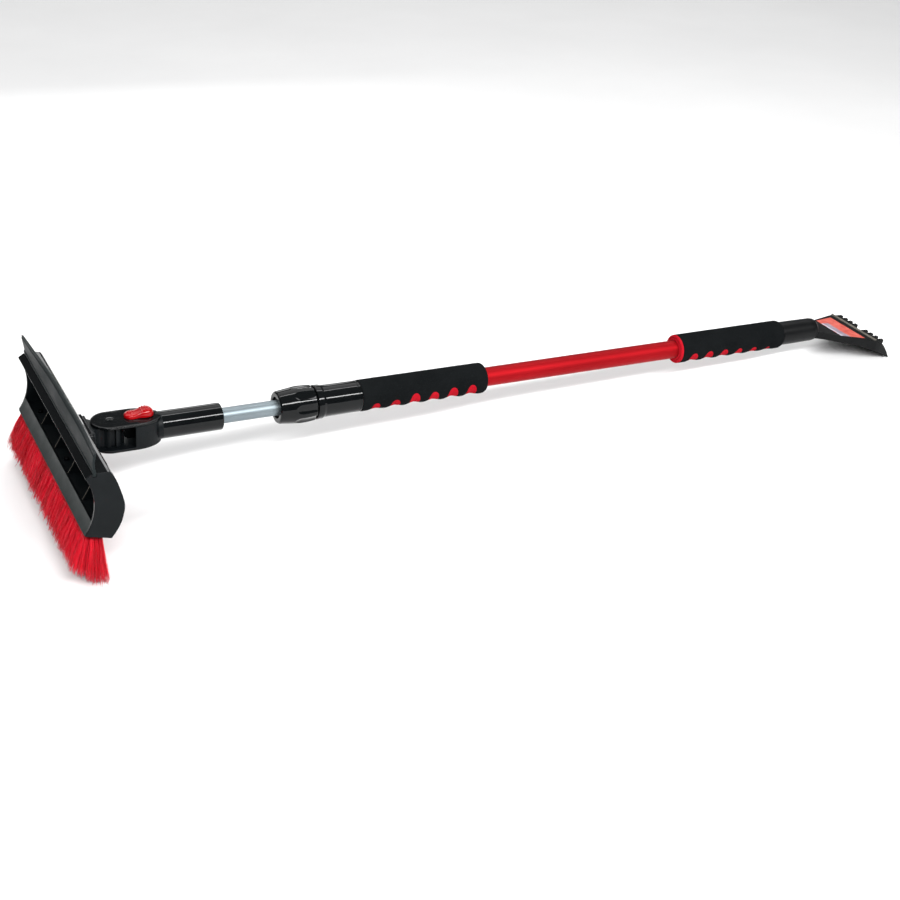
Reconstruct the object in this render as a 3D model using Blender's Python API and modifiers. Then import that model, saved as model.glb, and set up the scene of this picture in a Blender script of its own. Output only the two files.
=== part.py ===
"""Extending snow brush with a pivoting, lockable brush-and-squeegee head and an ice scraper.

Everything is laid out along the pole, in millimetres, in the pole's own frame: X runs along the
pole from the pivot pin towards the scraper, Y across it, along the brush head, and Z up through
the pivot pin. The pole frame is an empty that is pitched so that the bristle tips and the scraper
edge both rest on the ground, Z = 0.
"""

import math

import bmesh
import bpy
from mathutils import Matrix, Vector

# ---------------------------------------------------------------- driving dimensions (mm)
MM = 0.001
GAP = 0.3  # between pieces that touch

# Pole
OUTER_R, OUTER_BORE = 12.7, 11.5  # 25.4 mm anodised tube
OUTER_X = (264.0, 1040.0)
INNER_R, INNER_BORE = 9.75, 8.75  # 19.5 mm aluminium tube
INNER_X = (72.0, 660.0)
BUSH_X, BUSH_R = (640.0, 662.0), 11.2

# Twist lock
COLLAR_X = (206.6, 255.4)
COLLAR_LOBES = 8
SLEEVE_X = (240.0, 316.5)
NOSE_R, FLANGE_R, SLEEVE_R = 17.2, 21.6, 20.0

# Foam grips
GRIP_R = 20.25
GRIP_CORE_R = 17.0
FRONT_GRIP_X = (316.9, 496.7)
REAR_GRIP_X = (808.3, 988.9)
REAR_FLANGE_X = 803.8
GROOVES = 6
FRONT_GROOVE_X, FRONT_GROOVE_PITCH = 338.1, 27.3
REAR_GROOVE_X, REAR_GROOVE_PITCH = 831.0, 26.6
GROOVE_DEPTH, GROOVE_WIDTH = 2.5, 25.0

# Ice scraper
SCRAPER_SLEEVE_X, SCRAPER_SLEEVE_R = (989.3, 1057.0), 17.05
RIDGE_X, RIDGE_HALF = 1139.0, 51.2
EDGE = (1168.6, -38.5)  # scraping edge, X and Z
TOOTH_Y = (11.8, 22.9, 34.2, 45.6)
TOOTH_TIP = (1154.7, -9.8)

# Pivot joint
PIN_R = 4.0
PLATE_R = 22.5
HOUSING_HALF = 22.0
HOUSING_TIP = 61.0
PLATE_OUT, PLATE_IN = 17.0, 13.4
COVER_Z = 13.6
SOCKET_X, SOCKET_R = (61.5, 133.5), 16.5
WINDOW_X = 25.0
KNUCKLE_R, KNUCKLE_H = 16.0, 13.1
NOTCH_W, NOTCH_DEPTH = 6.2, 4.5
NOTCH_ANGLES = (-90, -45, 0, 45, 90)
FLANGE_X = (-26.2, -23.2)
FLANGE_HALF = 27.0
FLANGE_Z = (-20.0, 14.0)
KNUCKLE_SCREWS = ((-21.0, -13.5), (-21.0, 8.0), (21.0, -13.5), (21.0, 8.0))
STRIP_SCREW_Y = (-126.0, 0.0, 126.0)

# Lock
BUTTON_X = (17.0, 52.0)
PAWL_NOSE_X = 16.4
PAWL_X = (16.4, 42.0)
SPRING_X = (42.6, 56.4)

# Brush head
HEAD_HALF = 157.9
WALL_Y = 154.9
LOWER_LIP = (-72.5, -36.0)
UPPER_LIP = (-69.0, 35.0)
HOLLOW_X = -60.4
BACK_TOP = (-39.3, 36.0)
BACK = ((-34.9, 26.0), (-31.5, 15.4), (-28.6, 5.0), (-27.1, -4.6), (-28.4, -15.0), (-31.3, -25.0), (-36.4, -35.0))
BACK_FOOT = (-42.8, -43.7)
RIBS_Y = (-94.8, -31.6, 31.6, 94.8)
RIB_T = 1.8
BRISTLE_FRONT = (-86.0, -78.0)
BRISTLE_LOW = (-58.0, -102.0)
BRISTLE_REAR = (-48.0, -99.0)
BRISTLE_HALF = 150.0
BLADE_TOP, BLADE_HALF = 64.0, 157.4

# The pole's pitch when the tool lies on its bristle tips and its scraper edge
PITCH = math.atan2(EDGE[1] - BRISTLE_LOW[1], EDGE[0] - BRISTLE_LOW[0])


def on_ground(x, z):
    """A point of the pole frame's XZ plane after the pitch, before the shift."""
    return (x * math.cos(PITCH) + z * math.sin(PITCH), -x * math.sin(PITCH) + z * math.cos(PITCH))


LEFT = on_ground(*BRISTLE_FRONT)[0]
RIGHT = on_ground(*EDGE)[0]
DOWN = on_ground(*BRISTLE_LOW)[1]

# ---------------------------------------------------------------- scene
for old in list(bpy.data.objects):
    bpy.data.objects.remove(old, do_unlink=True)

parts = bpy.data.collections.new("snow_brush_scraper")
cutters = bpy.data.collections.new("cutters")
bpy.context.scene.collection.children.link(parts)
bpy.context.scene.collection.children.link(cutters)
cutters.hide_render = True


def material(name, colour, roughness, metallic=0.0):
    made = bpy.data.materials.new(name)
    made.use_nodes = True
    shader = made.node_tree.nodes["Principled BSDF"]
    shader.inputs["Base Color"].default_value = (*colour, 1.0)
    shader.inputs["Roughness"].default_value = roughness
    shader.inputs["Metallic"].default_value = metallic
    return made


RED_ANODISED = material("red_anodised", (0.42, 0.015, 0.02), 0.35, 1.0)
ALUMINIUM = material("aluminium", (0.75, 0.77, 0.78), 0.32, 1.0)
STEEL = material("zinc_steel", (0.6, 0.6, 0.6), 0.35, 1.0)
SPRING_STEEL = material("spring_steel", (0.45, 0.45, 0.46), 0.3, 1.0)
GLOSS_BLACK = material("gloss_black", (0.012, 0.013, 0.014), 0.18)
MATTE_BLACK = material("matte_black", (0.022, 0.023, 0.026), 0.5)
NYLON = material("nylon", (0.55, 0.55, 0.5), 0.5)
RED_PLASTIC = material("red_plastic", (0.65, 0.02, 0.03), 0.35)
BLACK_FOAM = material("black_foam", (0.012, 0.014, 0.016), 0.85)
RED_FOAM = material("red_foam", (0.55, 0.02, 0.03), 0.8)
RUBBER = material("grey_rubber", (0.05, 0.055, 0.055), 0.45)
BRISTLE_RED = material("bristle_red", (0.65, 0.01, 0.03), 0.4)
LABEL = material("label", (0.85, 0.25, 0.2), 0.45)


def empty(name, at=(0.0, 0.0, 0.0), parent=None):
    """A frame at a point of the pole frame, in mm."""
    made = bpy.data.objects.new(name, None)
    made.empty_display_size = 0.02
    parts.objects.link(made)
    made.parent = parent
    made.location = Vector(at) * MM
    return made


pole = empty("pole_frame")
pole.rotation_euler = (0.0, PITCH, 0.0)
pole.location = (-(LEFT + RIGHT) / 2 * MM, 0.0, -DOWN * MM)
slide_frame = empty("extension_slide", (0, 0, 0), pole)
pivot_frame = empty("head_pivot", (0, 0, 0), slide_frame)
collar_frame = empty("collar_axis", ((COLLAR_X[0] + COLLAR_X[1]) / 2, 0, 0), pole)
lock_frame = empty("lock_slide", (0, 0, 0), slide_frame)


def keep(name, bm, mat, parent):
    """Turns a bmesh in pole-frame mm into an object under its frame. Without a material it is a cutter."""
    shift = Vector(parent.location) if parent is collar_frame else Vector((0, 0, 0))
    bmesh.ops.transform(bm, matrix=Matrix.Translation(-shift) @ Matrix.Scale(MM, 4), verts=bm.verts)
    mesh = bpy.data.meshes.new(name)
    bm.to_mesh(mesh)
    bm.free()
    made = bpy.data.objects.new(name, mesh)
    made.parent = parent
    if mat is None:
        cutters.objects.link(made)
        made.hide_render = True
        made.display_type = "WIRE"
    else:
        parts.objects.link(made)
        mesh.materials.append(mat)
    return made


def smooth(made, degrees=35):
    made.data.shade_smooth()
    made.data.set_sharp_from_angle(angle=math.radians(degrees))
    return made


def turned(name, section, mat, parent, seg=48, across=None, solid=False):
    """A turned piece along the pole: its section is (x, r) pairs, from the axis to the axis for a
    solid one, or else a closed loop. across = (x, y) stands it upright instead, on the Z axis."""
    points = [(r, x) for x, r in section]
    area = sum(a[0] * b[1] - b[0] * a[1] for a, b in zip(points, points[1:] + points[:1]))
    if area > 0:
        points.reverse()
    bm = bmesh.new()
    verts = [bm.verts.new((r, 0.0, x)) for r, x in points]
    for a, b in zip(verts, verts[1:]):
        bm.edges.new((a, b))
    if not solid:
        bm.edges.new((verts[-1], verts[0]))
    bmesh.ops.scale(bm, vec=(MM, MM, MM), verts=bm.verts)
    mesh = bpy.data.meshes.new(name)
    bm.to_mesh(mesh)
    bm.free()
    made = bpy.data.objects.new(name, mesh)
    made.parent = parent
    screw = made.modifiers.new("turn", "SCREW")
    screw.steps = screw.render_steps = seg
    screw.use_merge_vertices = True
    screw.merge_threshold = 0.00001
    screw.use_smooth_shade = False
    if across is None:
        made.rotation_euler = (0.0, math.pi / 2, 0.0)
        if parent is collar_frame:
            made.location = -Vector(parent.location)
    else:
        made.location = Vector((across[0], across[1], 0.0)) * MM
    if mat is None:
        cutters.objects.link(made)
        made.hide_render = True
        made.display_type = "WIRE"
    else:
        parts.objects.link(made)
        mesh.materials.append(mat)
    return made


AXES = {
    "X": Matrix(((0, 0, 1, 0), (1, 0, 0, 0), (0, 1, 0, 0), (0, 0, 0, 1))),
    "Y": Matrix(((1, 0, 0, 0), (0, 0, 1, 0), (0, 1, 0, 0), (0, 0, 0, 1))),
    "Z": Matrix.Identity(4),
}


def add_prism(bm, outline, low, high, along, cuts=0):
    """An outline in the plane across an axis, extruded along it: (x, z) along Y, (x, y) along Z,
    and (y, z) along X."""
    one = bmesh.new()
    face = one.faces.new([one.verts.new((a, b, low)) for a, b in outline])
    made = bmesh.ops.extrude_face_region(one, geom=[face])["geom"]
    top = {v for v in made if isinstance(v, bmesh.types.BMVert)}
    bmesh.ops.translate(one, vec=(0, 0, high - low), verts=list(top))
    if cuts:
        sides = [e for e in one.edges if (e.verts[0] in top) != (e.verts[1] in top)]
        bmesh.ops.subdivide_edges(one, edges=sides, cuts=cuts)
    bmesh.ops.transform(one, matrix=AXES[along], verts=one.verts)
    bmesh.ops.recalc_face_normals(one, faces=one.faces)
    mesh = bpy.data.meshes.new("prism")
    one.to_mesh(mesh)
    one.free()
    bm.from_mesh(mesh)
    bpy.data.meshes.remove(mesh)


def prism(name, outline, low, high, along, mat, parent, cuts=0):
    bm = bmesh.new()
    add_prism(bm, outline, low, high, along, cuts)
    return keep(name, bm, mat, parent)


def add_box(bm, x, y, z):
    made = bmesh.ops.create_cube(bm, size=1.0)["verts"]
    bmesh.ops.scale(bm, vec=(x[1] - x[0], y[1] - y[0], z[1] - z[0]), verts=made)
    bmesh.ops.translate(bm, vec=((x[0] + x[1]) / 2, (y[0] + y[1]) / 2, (z[0] + z[1]) / 2), verts=made)
    return made


def add_rod(bm, p, q, r, seg=12):
    """A round bar from p to q."""
    p, q = Vector(p), Vector(q)
    made = bmesh.ops.create_cone(bm, cap_ends=True, segments=seg, radius1=r, radius2=r, depth=(q - p).length)["verts"]
    turn = (q - p).to_track_quat("Z", "Y").to_matrix().to_4x4()
    bmesh.ops.transform(bm, matrix=Matrix.Translation((p + q) / 2) @ turn, verts=made)
    return made


def cut(made, cutter, operation="DIFFERENCE"):
    step = made.modifiers.new(cutter.name, "BOOLEAN")
    step.operation = operation
    step.solver = "EXACT"
    step.object = cutter
    return made


def bevel(made, width, segments=2, degrees=40):
    step = made.modifiers.new("edges", "BEVEL")
    step.width = width * MM
    step.segments = segments
    step.limit_method = "ANGLE"
    step.angle_limit = math.radians(degrees)
    return made


def ring_loft(name, rings, mat, parent, seg):
    """A closed tube of rings that aren't round: each ring is (x, radius as a function of the angle),
    and the last joins the first. The angle starts at the bottom of the pole."""
    bm = bmesh.new()
    made = []
    for x, radius in rings:
        ring = []
        for i in range(seg):
            a = 2 * math.pi * i / seg
            r = radius(a)
            ring.append(bm.verts.new((x, r * math.sin(a), -r * math.cos(a))))
        made.append(ring)
    for one, two in zip(made, made[1:] + made[:1]):
        for i in range(seg):
            j = (i + 1) % seg
            bm.faces.new((one[i], one[j], two[j], two[i]))
    bmesh.ops.recalc_face_normals(bm, faces=bm.faces)
    return smooth(keep(name, bm, mat, parent))


def arc3(a, b, c, n):
    """Points on the circle through a, b and c, from a to c."""
    (ax, ay), (bx, by), (cx, cy) = a, b, c
    d = 2 * (ax * (by - cy) + bx * (cy - ay) + cx * (ay - by))
    ux = ((ax**2 + ay**2) * (by - cy) + (bx**2 + by**2) * (cy - ay) + (cx**2 + cy**2) * (ay - by)) / d
    uy = ((ax**2 + ay**2) * (cx - bx) + (bx**2 + by**2) * (ax - cx) + (cx**2 + cy**2) * (bx - ax)) / d
    r = math.hypot(ax - ux, ay - uy)
    t0, t1 = math.atan2(ay - uy, ax - ux), math.atan2(cy - uy, cx - ux)
    tb = math.atan2(by - uy, bx - ux)
    while t1 < t0:
        t1 += 2 * math.pi
    while tb < t0:
        tb += 2 * math.pi
    if tb > t1:
        t1 -= 2 * math.pi
    return [(ux + r * math.cos(t0 + (t1 - t0) * i / n), uy + r * math.sin(t0 + (t1 - t0) * i / n)) for i in range(n + 1)]


# ---------------------------------------------------------------- pole and twist lock
smooth(turned("outer_tube", [(OUTER_X[0], OUTER_BORE), (OUTER_X[0], OUTER_R), (OUTER_X[1], OUTER_R), (OUTER_X[1], OUTER_BORE)], RED_ANODISED, pole))

turned(
    "lock_sleeve",
    [
        (SLEEVE_X[0], 10.25), (SLEEVE_X[0], NOSE_R - 0.8), (SLEEVE_X[0] + 0.8, NOSE_R), (COLLAR_X[1] + 0.6, NOSE_R),
        (COLLAR_X[1] + 0.6, FLANGE_R - 0.8), (COLLAR_X[1] + 1.6, FLANGE_R), (265.2, FLANGE_R), (267.4, 20.7),
        (282.4, SLEEVE_R + 0.1), (SLEEVE_X[1] - 1.0, SLEEVE_R), (SLEEVE_X[1], SLEEVE_R - 1.0), (SLEEVE_X[1], OUTER_R + GAP),
        (OUTER_X[0] - GAP, OUTER_R + GAP), (OUTER_X[0] - GAP, 10.25),
    ],
    GLOSS_BLACK, pole,
)

collet = turned("clamp_collet", [(209.0, 10.1), (209.0, 12.0), (234.5, 12.9), (238.5, 12.9), (238.5, 10.1)], NYLON, pole, seg=36)
slits = bmesh.new()
for turn in (90, 210, 330):
    slit = add_box(slits, (205.0, 229.5), (-0.7, 0.7), (6.0, 16.0))
    bmesh.ops.rotate(slits, verts=slit, cent=(0, 0, 0), matrix=Matrix.Rotation(math.radians(turn), 3, "X"))
cut(collet, keep("collet_slits", slits, None, pole))


def lobed(radius, depth):
    return lambda a: radius - depth * (0.5 - 0.5 * math.cos(COLLAR_LOBES * a))


def plain(radius):
    return lambda a: radius


ring_loft(
    "twist_collar",
    [
        (COLLAR_X[0], plain(13.4)), (COLLAR_X[0], lobed(18.9, 0.7)), (208.2, lobed(20.4, 0.9)), (222.0, lobed(22.2, 1.3)),
        (234.5, lobed(23.5, 1.4)), (245.5, lobed(23.1, 1.0)), (252.4, lobed(22.5, 0.5)), (COLLAR_X[1], plain(21.6)),
        (COLLAR_X[1], plain(NOSE_R + 0.4)), (SLEEVE_X[0] - 0.8, plain(NOSE_R + 0.4)), (SLEEVE_X[0] - 0.8, plain(13.4)),
    ],
    GLOSS_BLACK, collar_frame, 64,
)

# ---------------------------------------------------------------- foam grips


def groove_depth(x, a, first, pitch):
    """How deep the finger grooves cut at x and at the angle a from the bottom."""
    near = min(range(GROOVES), key=lambda i: abs(x - first - i * pitch))
    off = abs(x - first - near * pitch) / (GROOVE_WIDTH / 2)
    if off >= 1:
        return 0.0
    turn = abs(math.degrees(math.remainder(a, 2 * math.pi)))
    fade = min(1.0, max(0.0, (turn - 45.0) / 60.0))
    return GROOVE_DEPTH * (0.5 + 0.5 * math.cos(math.pi * off)) * (0.5 + 0.5 * math.cos(math.pi * fade))


def grip(name, ends, first, pitch, back_ring):
    """The black outer layer of a grip, grooved for the fingers along its lower half."""
    outer = [ends[0]]
    for i in range(GROOVES):
        middle = first + i * pitch
        outer += [middle - GROOVE_WIDTH / 2, middle - GROOVE_WIDTH / 4, middle, middle + GROOVE_WIDTH / 4]
    outer.append(outer[-1] + GROOVE_WIDTH / 4)
    end = ends[1]

    def skin(x):
        return lambda a: GRIP_R - groove_depth(x, a, first, pitch)

    rings = [(ends[0], plain(GRIP_CORE_R + GAP))]
    rings += [(x, skin(x)) for x in outer]
    rings += [(end - 5.0, plain(GRIP_R)), (end - 2.0, plain(GRIP_R - 1.0)), (end - 0.4, plain(GRIP_R - 2.8)), (end, plain(GRIP_R - 4.0))]
    rings += [(end, plain(OUTER_R + GAP)), (end - back_ring, plain(OUTER_R + GAP)), (end - back_ring, plain(GRIP_CORE_R + GAP))]
    return ring_loft(name, rings, BLACK_FOAM, pole, 28)


grip("foam_grip_front", FRONT_GRIP_X, FRONT_GROOVE_X, FRONT_GROOVE_PITCH, 4.5)
grip("foam_grip_rear", REAR_GRIP_X, REAR_GROOVE_X, REAR_GROOVE_PITCH, 4.5)
smooth(turned(
    "foam_core_front",
    [(FRONT_GRIP_X[0], OUTER_R + GAP), (FRONT_GRIP_X[0], GRIP_CORE_R), (FRONT_GRIP_X[1] - 4.8, GRIP_CORE_R), (FRONT_GRIP_X[1] - 4.8, OUTER_R + GAP)],
    RED_FOAM, pole, seg=28,
))
smooth(turned(
    "foam_core_rear",
    [
        (REAR_FLANGE_X, OUTER_R + GAP), (REAR_FLANGE_X, 18.2), (REAR_FLANGE_X + 1.2, 19.5), (REAR_GRIP_X[0] - GAP, 19.9),
        (REAR_GRIP_X[0] - GAP, GRIP_CORE_R), (REAR_GRIP_X[1] - 4.8, GRIP_CORE_R), (REAR_GRIP_X[1] - 4.8, OUTER_R + GAP),
    ],
    RED_FOAM, pole, seg=28,
))

# ---------------------------------------------------------------- ice scraper
TOP_LINE = [(1046.0, 2.0), (1062.0, 0.4), (1086.7, -2.7), (1125.7, -7.1), (1136.0, -8.3), (1136.8, -7.2), (1139.0, -7.2), (1140.5, -9.4), (1148.6, -12.9), (1155.1, -19.2), (1162.5, -28.6), EDGE]
UNDER_LINE = [(1144.6, -27.8), (1114.4, -18.2), (1086.0, -12.7), (1062.0, -9.6), (1046.0, -9.0)]
HOLLOW = [(1066.0, -3.4), (1086.0, -6.0), (1125.0, -10.6), (1138.0, -12.2), (1145.0, -16.4), (1149.0, -22.0), (1147.5, -29.8), (1140.0, -60.0), (1066.0, -60.0)]
PLAN = [(1046.0, 12.0), (1062.0, 19.5), (1074.0, 26.2), (1086.7, 31.6), (RIDGE_X, RIDGE_HALF), (1146.0, 52.0), (1180.0, 52.0)]


def both_sides(half):
    return [(x, -y) for x, y in half] + [(x, y) for x, y in reversed(half)]


scraper = turned(
    "scraper",
    [
        (OUTER_X[1] + 1.0, 0.0), (OUTER_X[1] + 1.0, OUTER_R + GAP), (SCRAPER_SLEEVE_X[0], OUTER_R + GAP), (SCRAPER_SLEEVE_X[0], SCRAPER_SLEEVE_R - 0.6), (SCRAPER_SLEEVE_X[0] + 0.8, SCRAPER_SLEEVE_R),
        (1048.0, SCRAPER_SLEEVE_R), (1053.5, SCRAPER_SLEEVE_R - 1.6), (1056.5, SCRAPER_SLEEVE_R - 4.5), (SCRAPER_SLEEVE_X[1], SCRAPER_SLEEVE_R - 7.0),
        (SCRAPER_SLEEVE_X[1], 0.0),
    ],
    MATTE_BLACK, pole, solid=True,
)
blade = prism("blade_block", TOP_LINE + UNDER_LINE, -56.0, 56.0, "Y", None, pole)
cut(blade, prism("blade_plan", both_sides(PLAN), -60.0, 20.0, "Z", None, pole), "INTERSECT")
hollow = prism("blade_hollow_block", HOLLOW, -60.0, 60.0, "Y", None, pole)
cut(hollow, prism("blade_hollow_plan", both_sides([(1060.0, 12.0), (1072.0, 21.0), (1086.7, 28.2), (RIDGE_X, 48.0), (1180.0, 48.6)]), -70.0, 20.0, "Z", None, pole), "INTERSECT")
cut(blade, hollow)
teeth = bmesh.new()
for y in [-y for y in reversed(TOOTH_Y)] + list(TOOTH_Y):
    add_prism(teeth, [(1139.6, -10.6), (1140.2, -9.2), (TOOTH_TIP[0], TOOTH_TIP[1]), (TOOTH_TIP[0], TOOTH_TIP[1] - 3.4), (1151.8, -17.6), (1150.0, -18.0), (1146.0, -14.6)], y - 2.6, y + 2.6, "Y")
cut(blade, keep("chipper_teeth", teeth, None, pole), "UNION")
cut(scraper, blade, "UNION")

SLOPE = math.atan2(-7.1 + 2.7, 1125.7 - 1086.7)
LABEL_MID = (1106.2, -4.9)


def sloped(name, half, low, high, mat):
    """A plate lying on the blade's sloping top."""
    bm = bmesh.new()
    add_prism(bm, both_sides(half), low, high, "Z")
    bmesh.ops.rotate(bm, verts=bm.verts, cent=(0, 0, 0), matrix=Matrix.Rotation(-SLOPE, 3, "Y"))
    bmesh.ops.translate(bm, verts=bm.verts, vec=(LABEL_MID[0], 0, LABEL_MID[1]))
    return keep(name, bm, mat, pole)


cut(scraper, sloped("label_recess", [(-19.8, 28.8), (19.8, 40.4)], -0.9, 6.0, None))
sloped("scraper_label", [(-19.4, 28.4), (19.4, 39.9)], -0.55, -0.15, LABEL)

screw_hole = turned("scraper_screw_hole", [(-20.0, 0.0), (-20.0, 3.9), (-14.2, 3.9), (-14.2, 2.3), (-8.0, 2.3), (-8.0, 0.0)], None, pole, seg=16, across=(1012.0, 0.0), solid=True)
cut(scraper, screw_hole)
cut(bpy.data.objects["outer_tube"], screw_hole)
smooth(turned("scraper_screw", [(-16.2, 0.0), (-16.2, 3.0), (-15.6, 3.5), (-14.5, 3.5), (-14.5, 2.0), (-9.6, 2.0), (-9.0, 1.2), (-9.0, 0.0)], STEEL, pole, seg=16, across=(1012.0, 0.0), solid=True))

# ---------------------------------------------------------------- sliding tube
smooth(turned("inner_tube", [(INNER_X[0], INNER_BORE), (INNER_X[0], INNER_R), (INNER_X[1], INNER_R), (INNER_X[1], INNER_BORE)], ALUMINIUM, slide_frame))
smooth(turned("guide_bush", [(BUSH_X[0], INNER_R + GAP), (BUSH_X[0], BUSH_R - 0.4), (BUSH_X[0] + 1, BUSH_R), (BUSH_X[1] - 1, BUSH_R), (BUSH_X[1], BUSH_R - 0.4), (BUSH_X[1], INNER_R + GAP)], NYLON, slide_frame))

# ---------------------------------------------------------------- pivot housing


def housing_outline(inset=0.0, arc=14, taper=7):
    """Half of the housing's plan: round at the pin, straight sides, and an oval tail."""
    half = [(-(PLATE_R - inset), 0.0)]
    for i in range(1, arc):
        a = math.pi - math.pi / 2 * i / arc
        half.append(((PLATE_R - inset) * math.cos(a), (HOUSING_HALF - inset) * math.sin(a)))
    half.append((0.0, HOUSING_HALF - inset))
    for i in range(taper):
        a = math.pi / 2 * i / taper
        half.append((27.0 + (HOUSING_TIP - inset - 27.0) * math.sin(a), (HOUSING_HALF - inset) * math.cos(a)))
    half.append((HOUSING_TIP - inset, 0.0))
    return half


def whole(half):
    return half + [(x, -y) for x, y in reversed(half[1:-1])]


housing = prism("joint_housing", whole(housing_outline()), -PLATE_OUT, PLATE_IN - 0.1, "Z", MATTE_BLACK, slide_frame)
bevel(housing, 1.2, 2, 60)
space = bmesh.new()
add_prism(space, [(-30.0, -30.0), (WINDOW_X, -30.0), (WINDOW_X, -18.6), (40.0, -15.4), (51.0, -8.6), (57.4, -4.6), (57.4, 4.6), (51.0, 8.6), (40.0, 15.4), (WINDOW_X, 18.6), (WINDOW_X, 30.0), (-30.0, 30.0)], -PLATE_IN, 30.0, "Z")
cut(housing, keep("housing_space", space, None, slide_frame))
socket = turned(
    "socket_block",
    [(56.6, 0.0), (56.6, 12.6), (SOCKET_X[0], 12.6), (SOCKET_X[0], 15.6), (SOCKET_X[0] + 1.5, SOCKET_R), (SOCKET_X[1] - 1.2, SOCKET_R), (SOCKET_X[1], SOCKET_R - 1.2), (SOCKET_X[1], INNER_R + GAP), (INNER_X[0] - GAP, INNER_R + GAP), (INNER_X[0] - GAP, 0.0)],
    None, slide_frame, solid=True,
)
cut(housing, socket, "UNION")
cut(housing, turned("nut_pocket", [(-30.0, 0.0), (-30.0, 7.3), (-15.3, 7.3), (-15.3, PIN_R + GAP), (0.0, PIN_R + GAP), (0.0, 0.0)], None, slide_frame, seg=24, across=(0, 0), solid=True))

cover = prism("joint_cover", whole(housing_outline(0.0)), COVER_Z, PLATE_OUT, "Z", GLOSS_BLACK, slide_frame)
bevel(cover, 1.3, 3, 60)
slot = bmesh.new()
add_box(slot, (15.6, 50.6), (-5.0, 5.0), (0.0, 30.0))
add_rod(slot, (0, 0, 5.0), (0, 0, 30.0), PIN_R + GAP, 24)
cut(cover, keep("button_slot", slot, None, slide_frame))
smooth(cover, 30)

smooth(turned("pivot_bolt", [(-18.2, 0.0), (-18.2, PIN_R), (17.3, PIN_R), (17.3, 6.0), (18.0, 5.6), (18.8, 3.6), (19.0, 0.0)], STEEL, slide_frame, seg=24, across=(0, 0), solid=True))
nut = bmesh.new()
bmesh.ops.create_cone(nut, cap_ends=True, segments=6, radius1=6.6, radius2=6.6, depth=2.7)
bmesh.ops.translate(nut, vec=(0, 0, -16.95), verts=nut.verts)
nut = keep("pivot_nut", nut, STEEL, slide_frame)
bore = bmesh.new()
add_rod(bore, (0, 0, -25), (0, 0, -10), PIN_R + GAP, 24)
cut(nut, keep("nut_bore", bore, None, slide_frame))

screw_hole = turned("socket_screw_hole", [(5.0, 0.0), (5.0, 2.3), (14.7, 2.3), (14.7, 3.6), (20.0, 3.6), (20.0, 0.0)], None, slide_frame, seg=16, across=(84.0, 0.0), solid=True)
cut(housing, screw_hole)
cut(bpy.data.objects["inner_tube"], screw_hole)
smooth(turned("socket_screw", [(6.0, 0.0), (6.0, 2.0), (15.0, 2.0), (15.0, 3.2), (16.3, 2.9), (16.6, 0.0)], STEEL, slide_frame, seg=16, across=(84.0, 0.0), solid=True))

# ---------------------------------------------------------------- lock
pawl = bmesh.new()
add_prism(pawl, [(PAWL_X[0], -7.0), (PAWL_X[0], 7.0), (20.0, 10.0), (26.0, 10.0), (26.0, 19.4), (40.0, 19.4), (40.0, 8.0), (PAWL_X[1], 8.0), (PAWL_X[1], -8.0), (20.0, -10.0)], -2.8, 2.8, "Y")
keep("lock_pawl", pawl, STEEL, lock_frame)


def button_half(x):
    """The button's half-width and height at x: a low front lobe, a waist and a high rear lobe."""
    u = (x - BUTTON_X[0]) / (BUTTON_X[1] - BUTTON_X[0])
    end = math.sqrt(max(0.0, 1 - max(0.0, abs(2 * u - 1) - 0.55) ** 2 / 0.45**2))
    waist = 1 - 0.12 * math.exp(-(((u - 0.47) / 0.13) ** 2))
    lift = 5.2 + 4.0 / (1 + math.exp(-(u - 0.52) / 0.055))
    return 8.8 * waist * max(0.28, end), 1.2 + (lift - 1.2) * max(0.08, end)


button = bmesh.new()
rows = []
for i in range(17):
    x = BUTTON_X[0] + (BUTTON_X[1] - BUTTON_X[0]) * i / 16
    half, lift = button_half(x)
    row = [(-half, 0.0), (-half, 0.35 * lift), (-0.9 * half, 0.7 * lift), (-0.62 * half, 0.93 * lift), (0.0, lift)]
    row += [(-y, z) for y, z in reversed(row[:-1])]
    rows.append([button.verts.new((x, y, PLATE_OUT + GAP + z)) for y, z in row])
for one, two in zip(rows, rows[1:]):
    for j in range(len(one)):
        k = (j + 1) % len(one)
        button.faces.new((one[j], one[k], two[k], two[j]))
button.faces.new(rows[0])
button.faces.new(list(reversed(rows[-1])))
bmesh.ops.recalc_face_normals(button, faces=button.faces)
button = keep("lock_button", button, RED_PLASTIC, lock_frame)
post_pocket = bmesh.new()
add_box(post_pocket, (25.6, 40.4), (-3.2, 3.2), (10.0, 19.8))
cut(button, keep("post_pocket", post_pocket, None, lock_frame))

coil = bpy.data.curves.new("pawl_spring", "CURVE")
coil.dimensions = "3D"
coil.bevel_depth = 0.45 * MM
coil.bevel_resolution = 1
coil.use_fill_caps = True
turns, per_turn = 5, 12
line = coil.splines.new("POLY")
line.points.add(turns * per_turn)
for i in range(turns * per_turn + 1):
    a = 2 * math.pi * i / per_turn
    x = SPRING_X[0] + 0.6 + (SPRING_X[1] - SPRING_X[0] - 1.2) * i / (turns * per_turn)
    line.points[i].co = (x * MM, 3.0 * math.cos(a) * MM, 3.0 * math.sin(a) * MM, 1.0)
spring = bpy.data.objects.new("pawl_spring", coil)
parts.objects.link(spring)
spring.parent = slide_frame
coil.materials.append(SPRING_STEEL)

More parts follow.
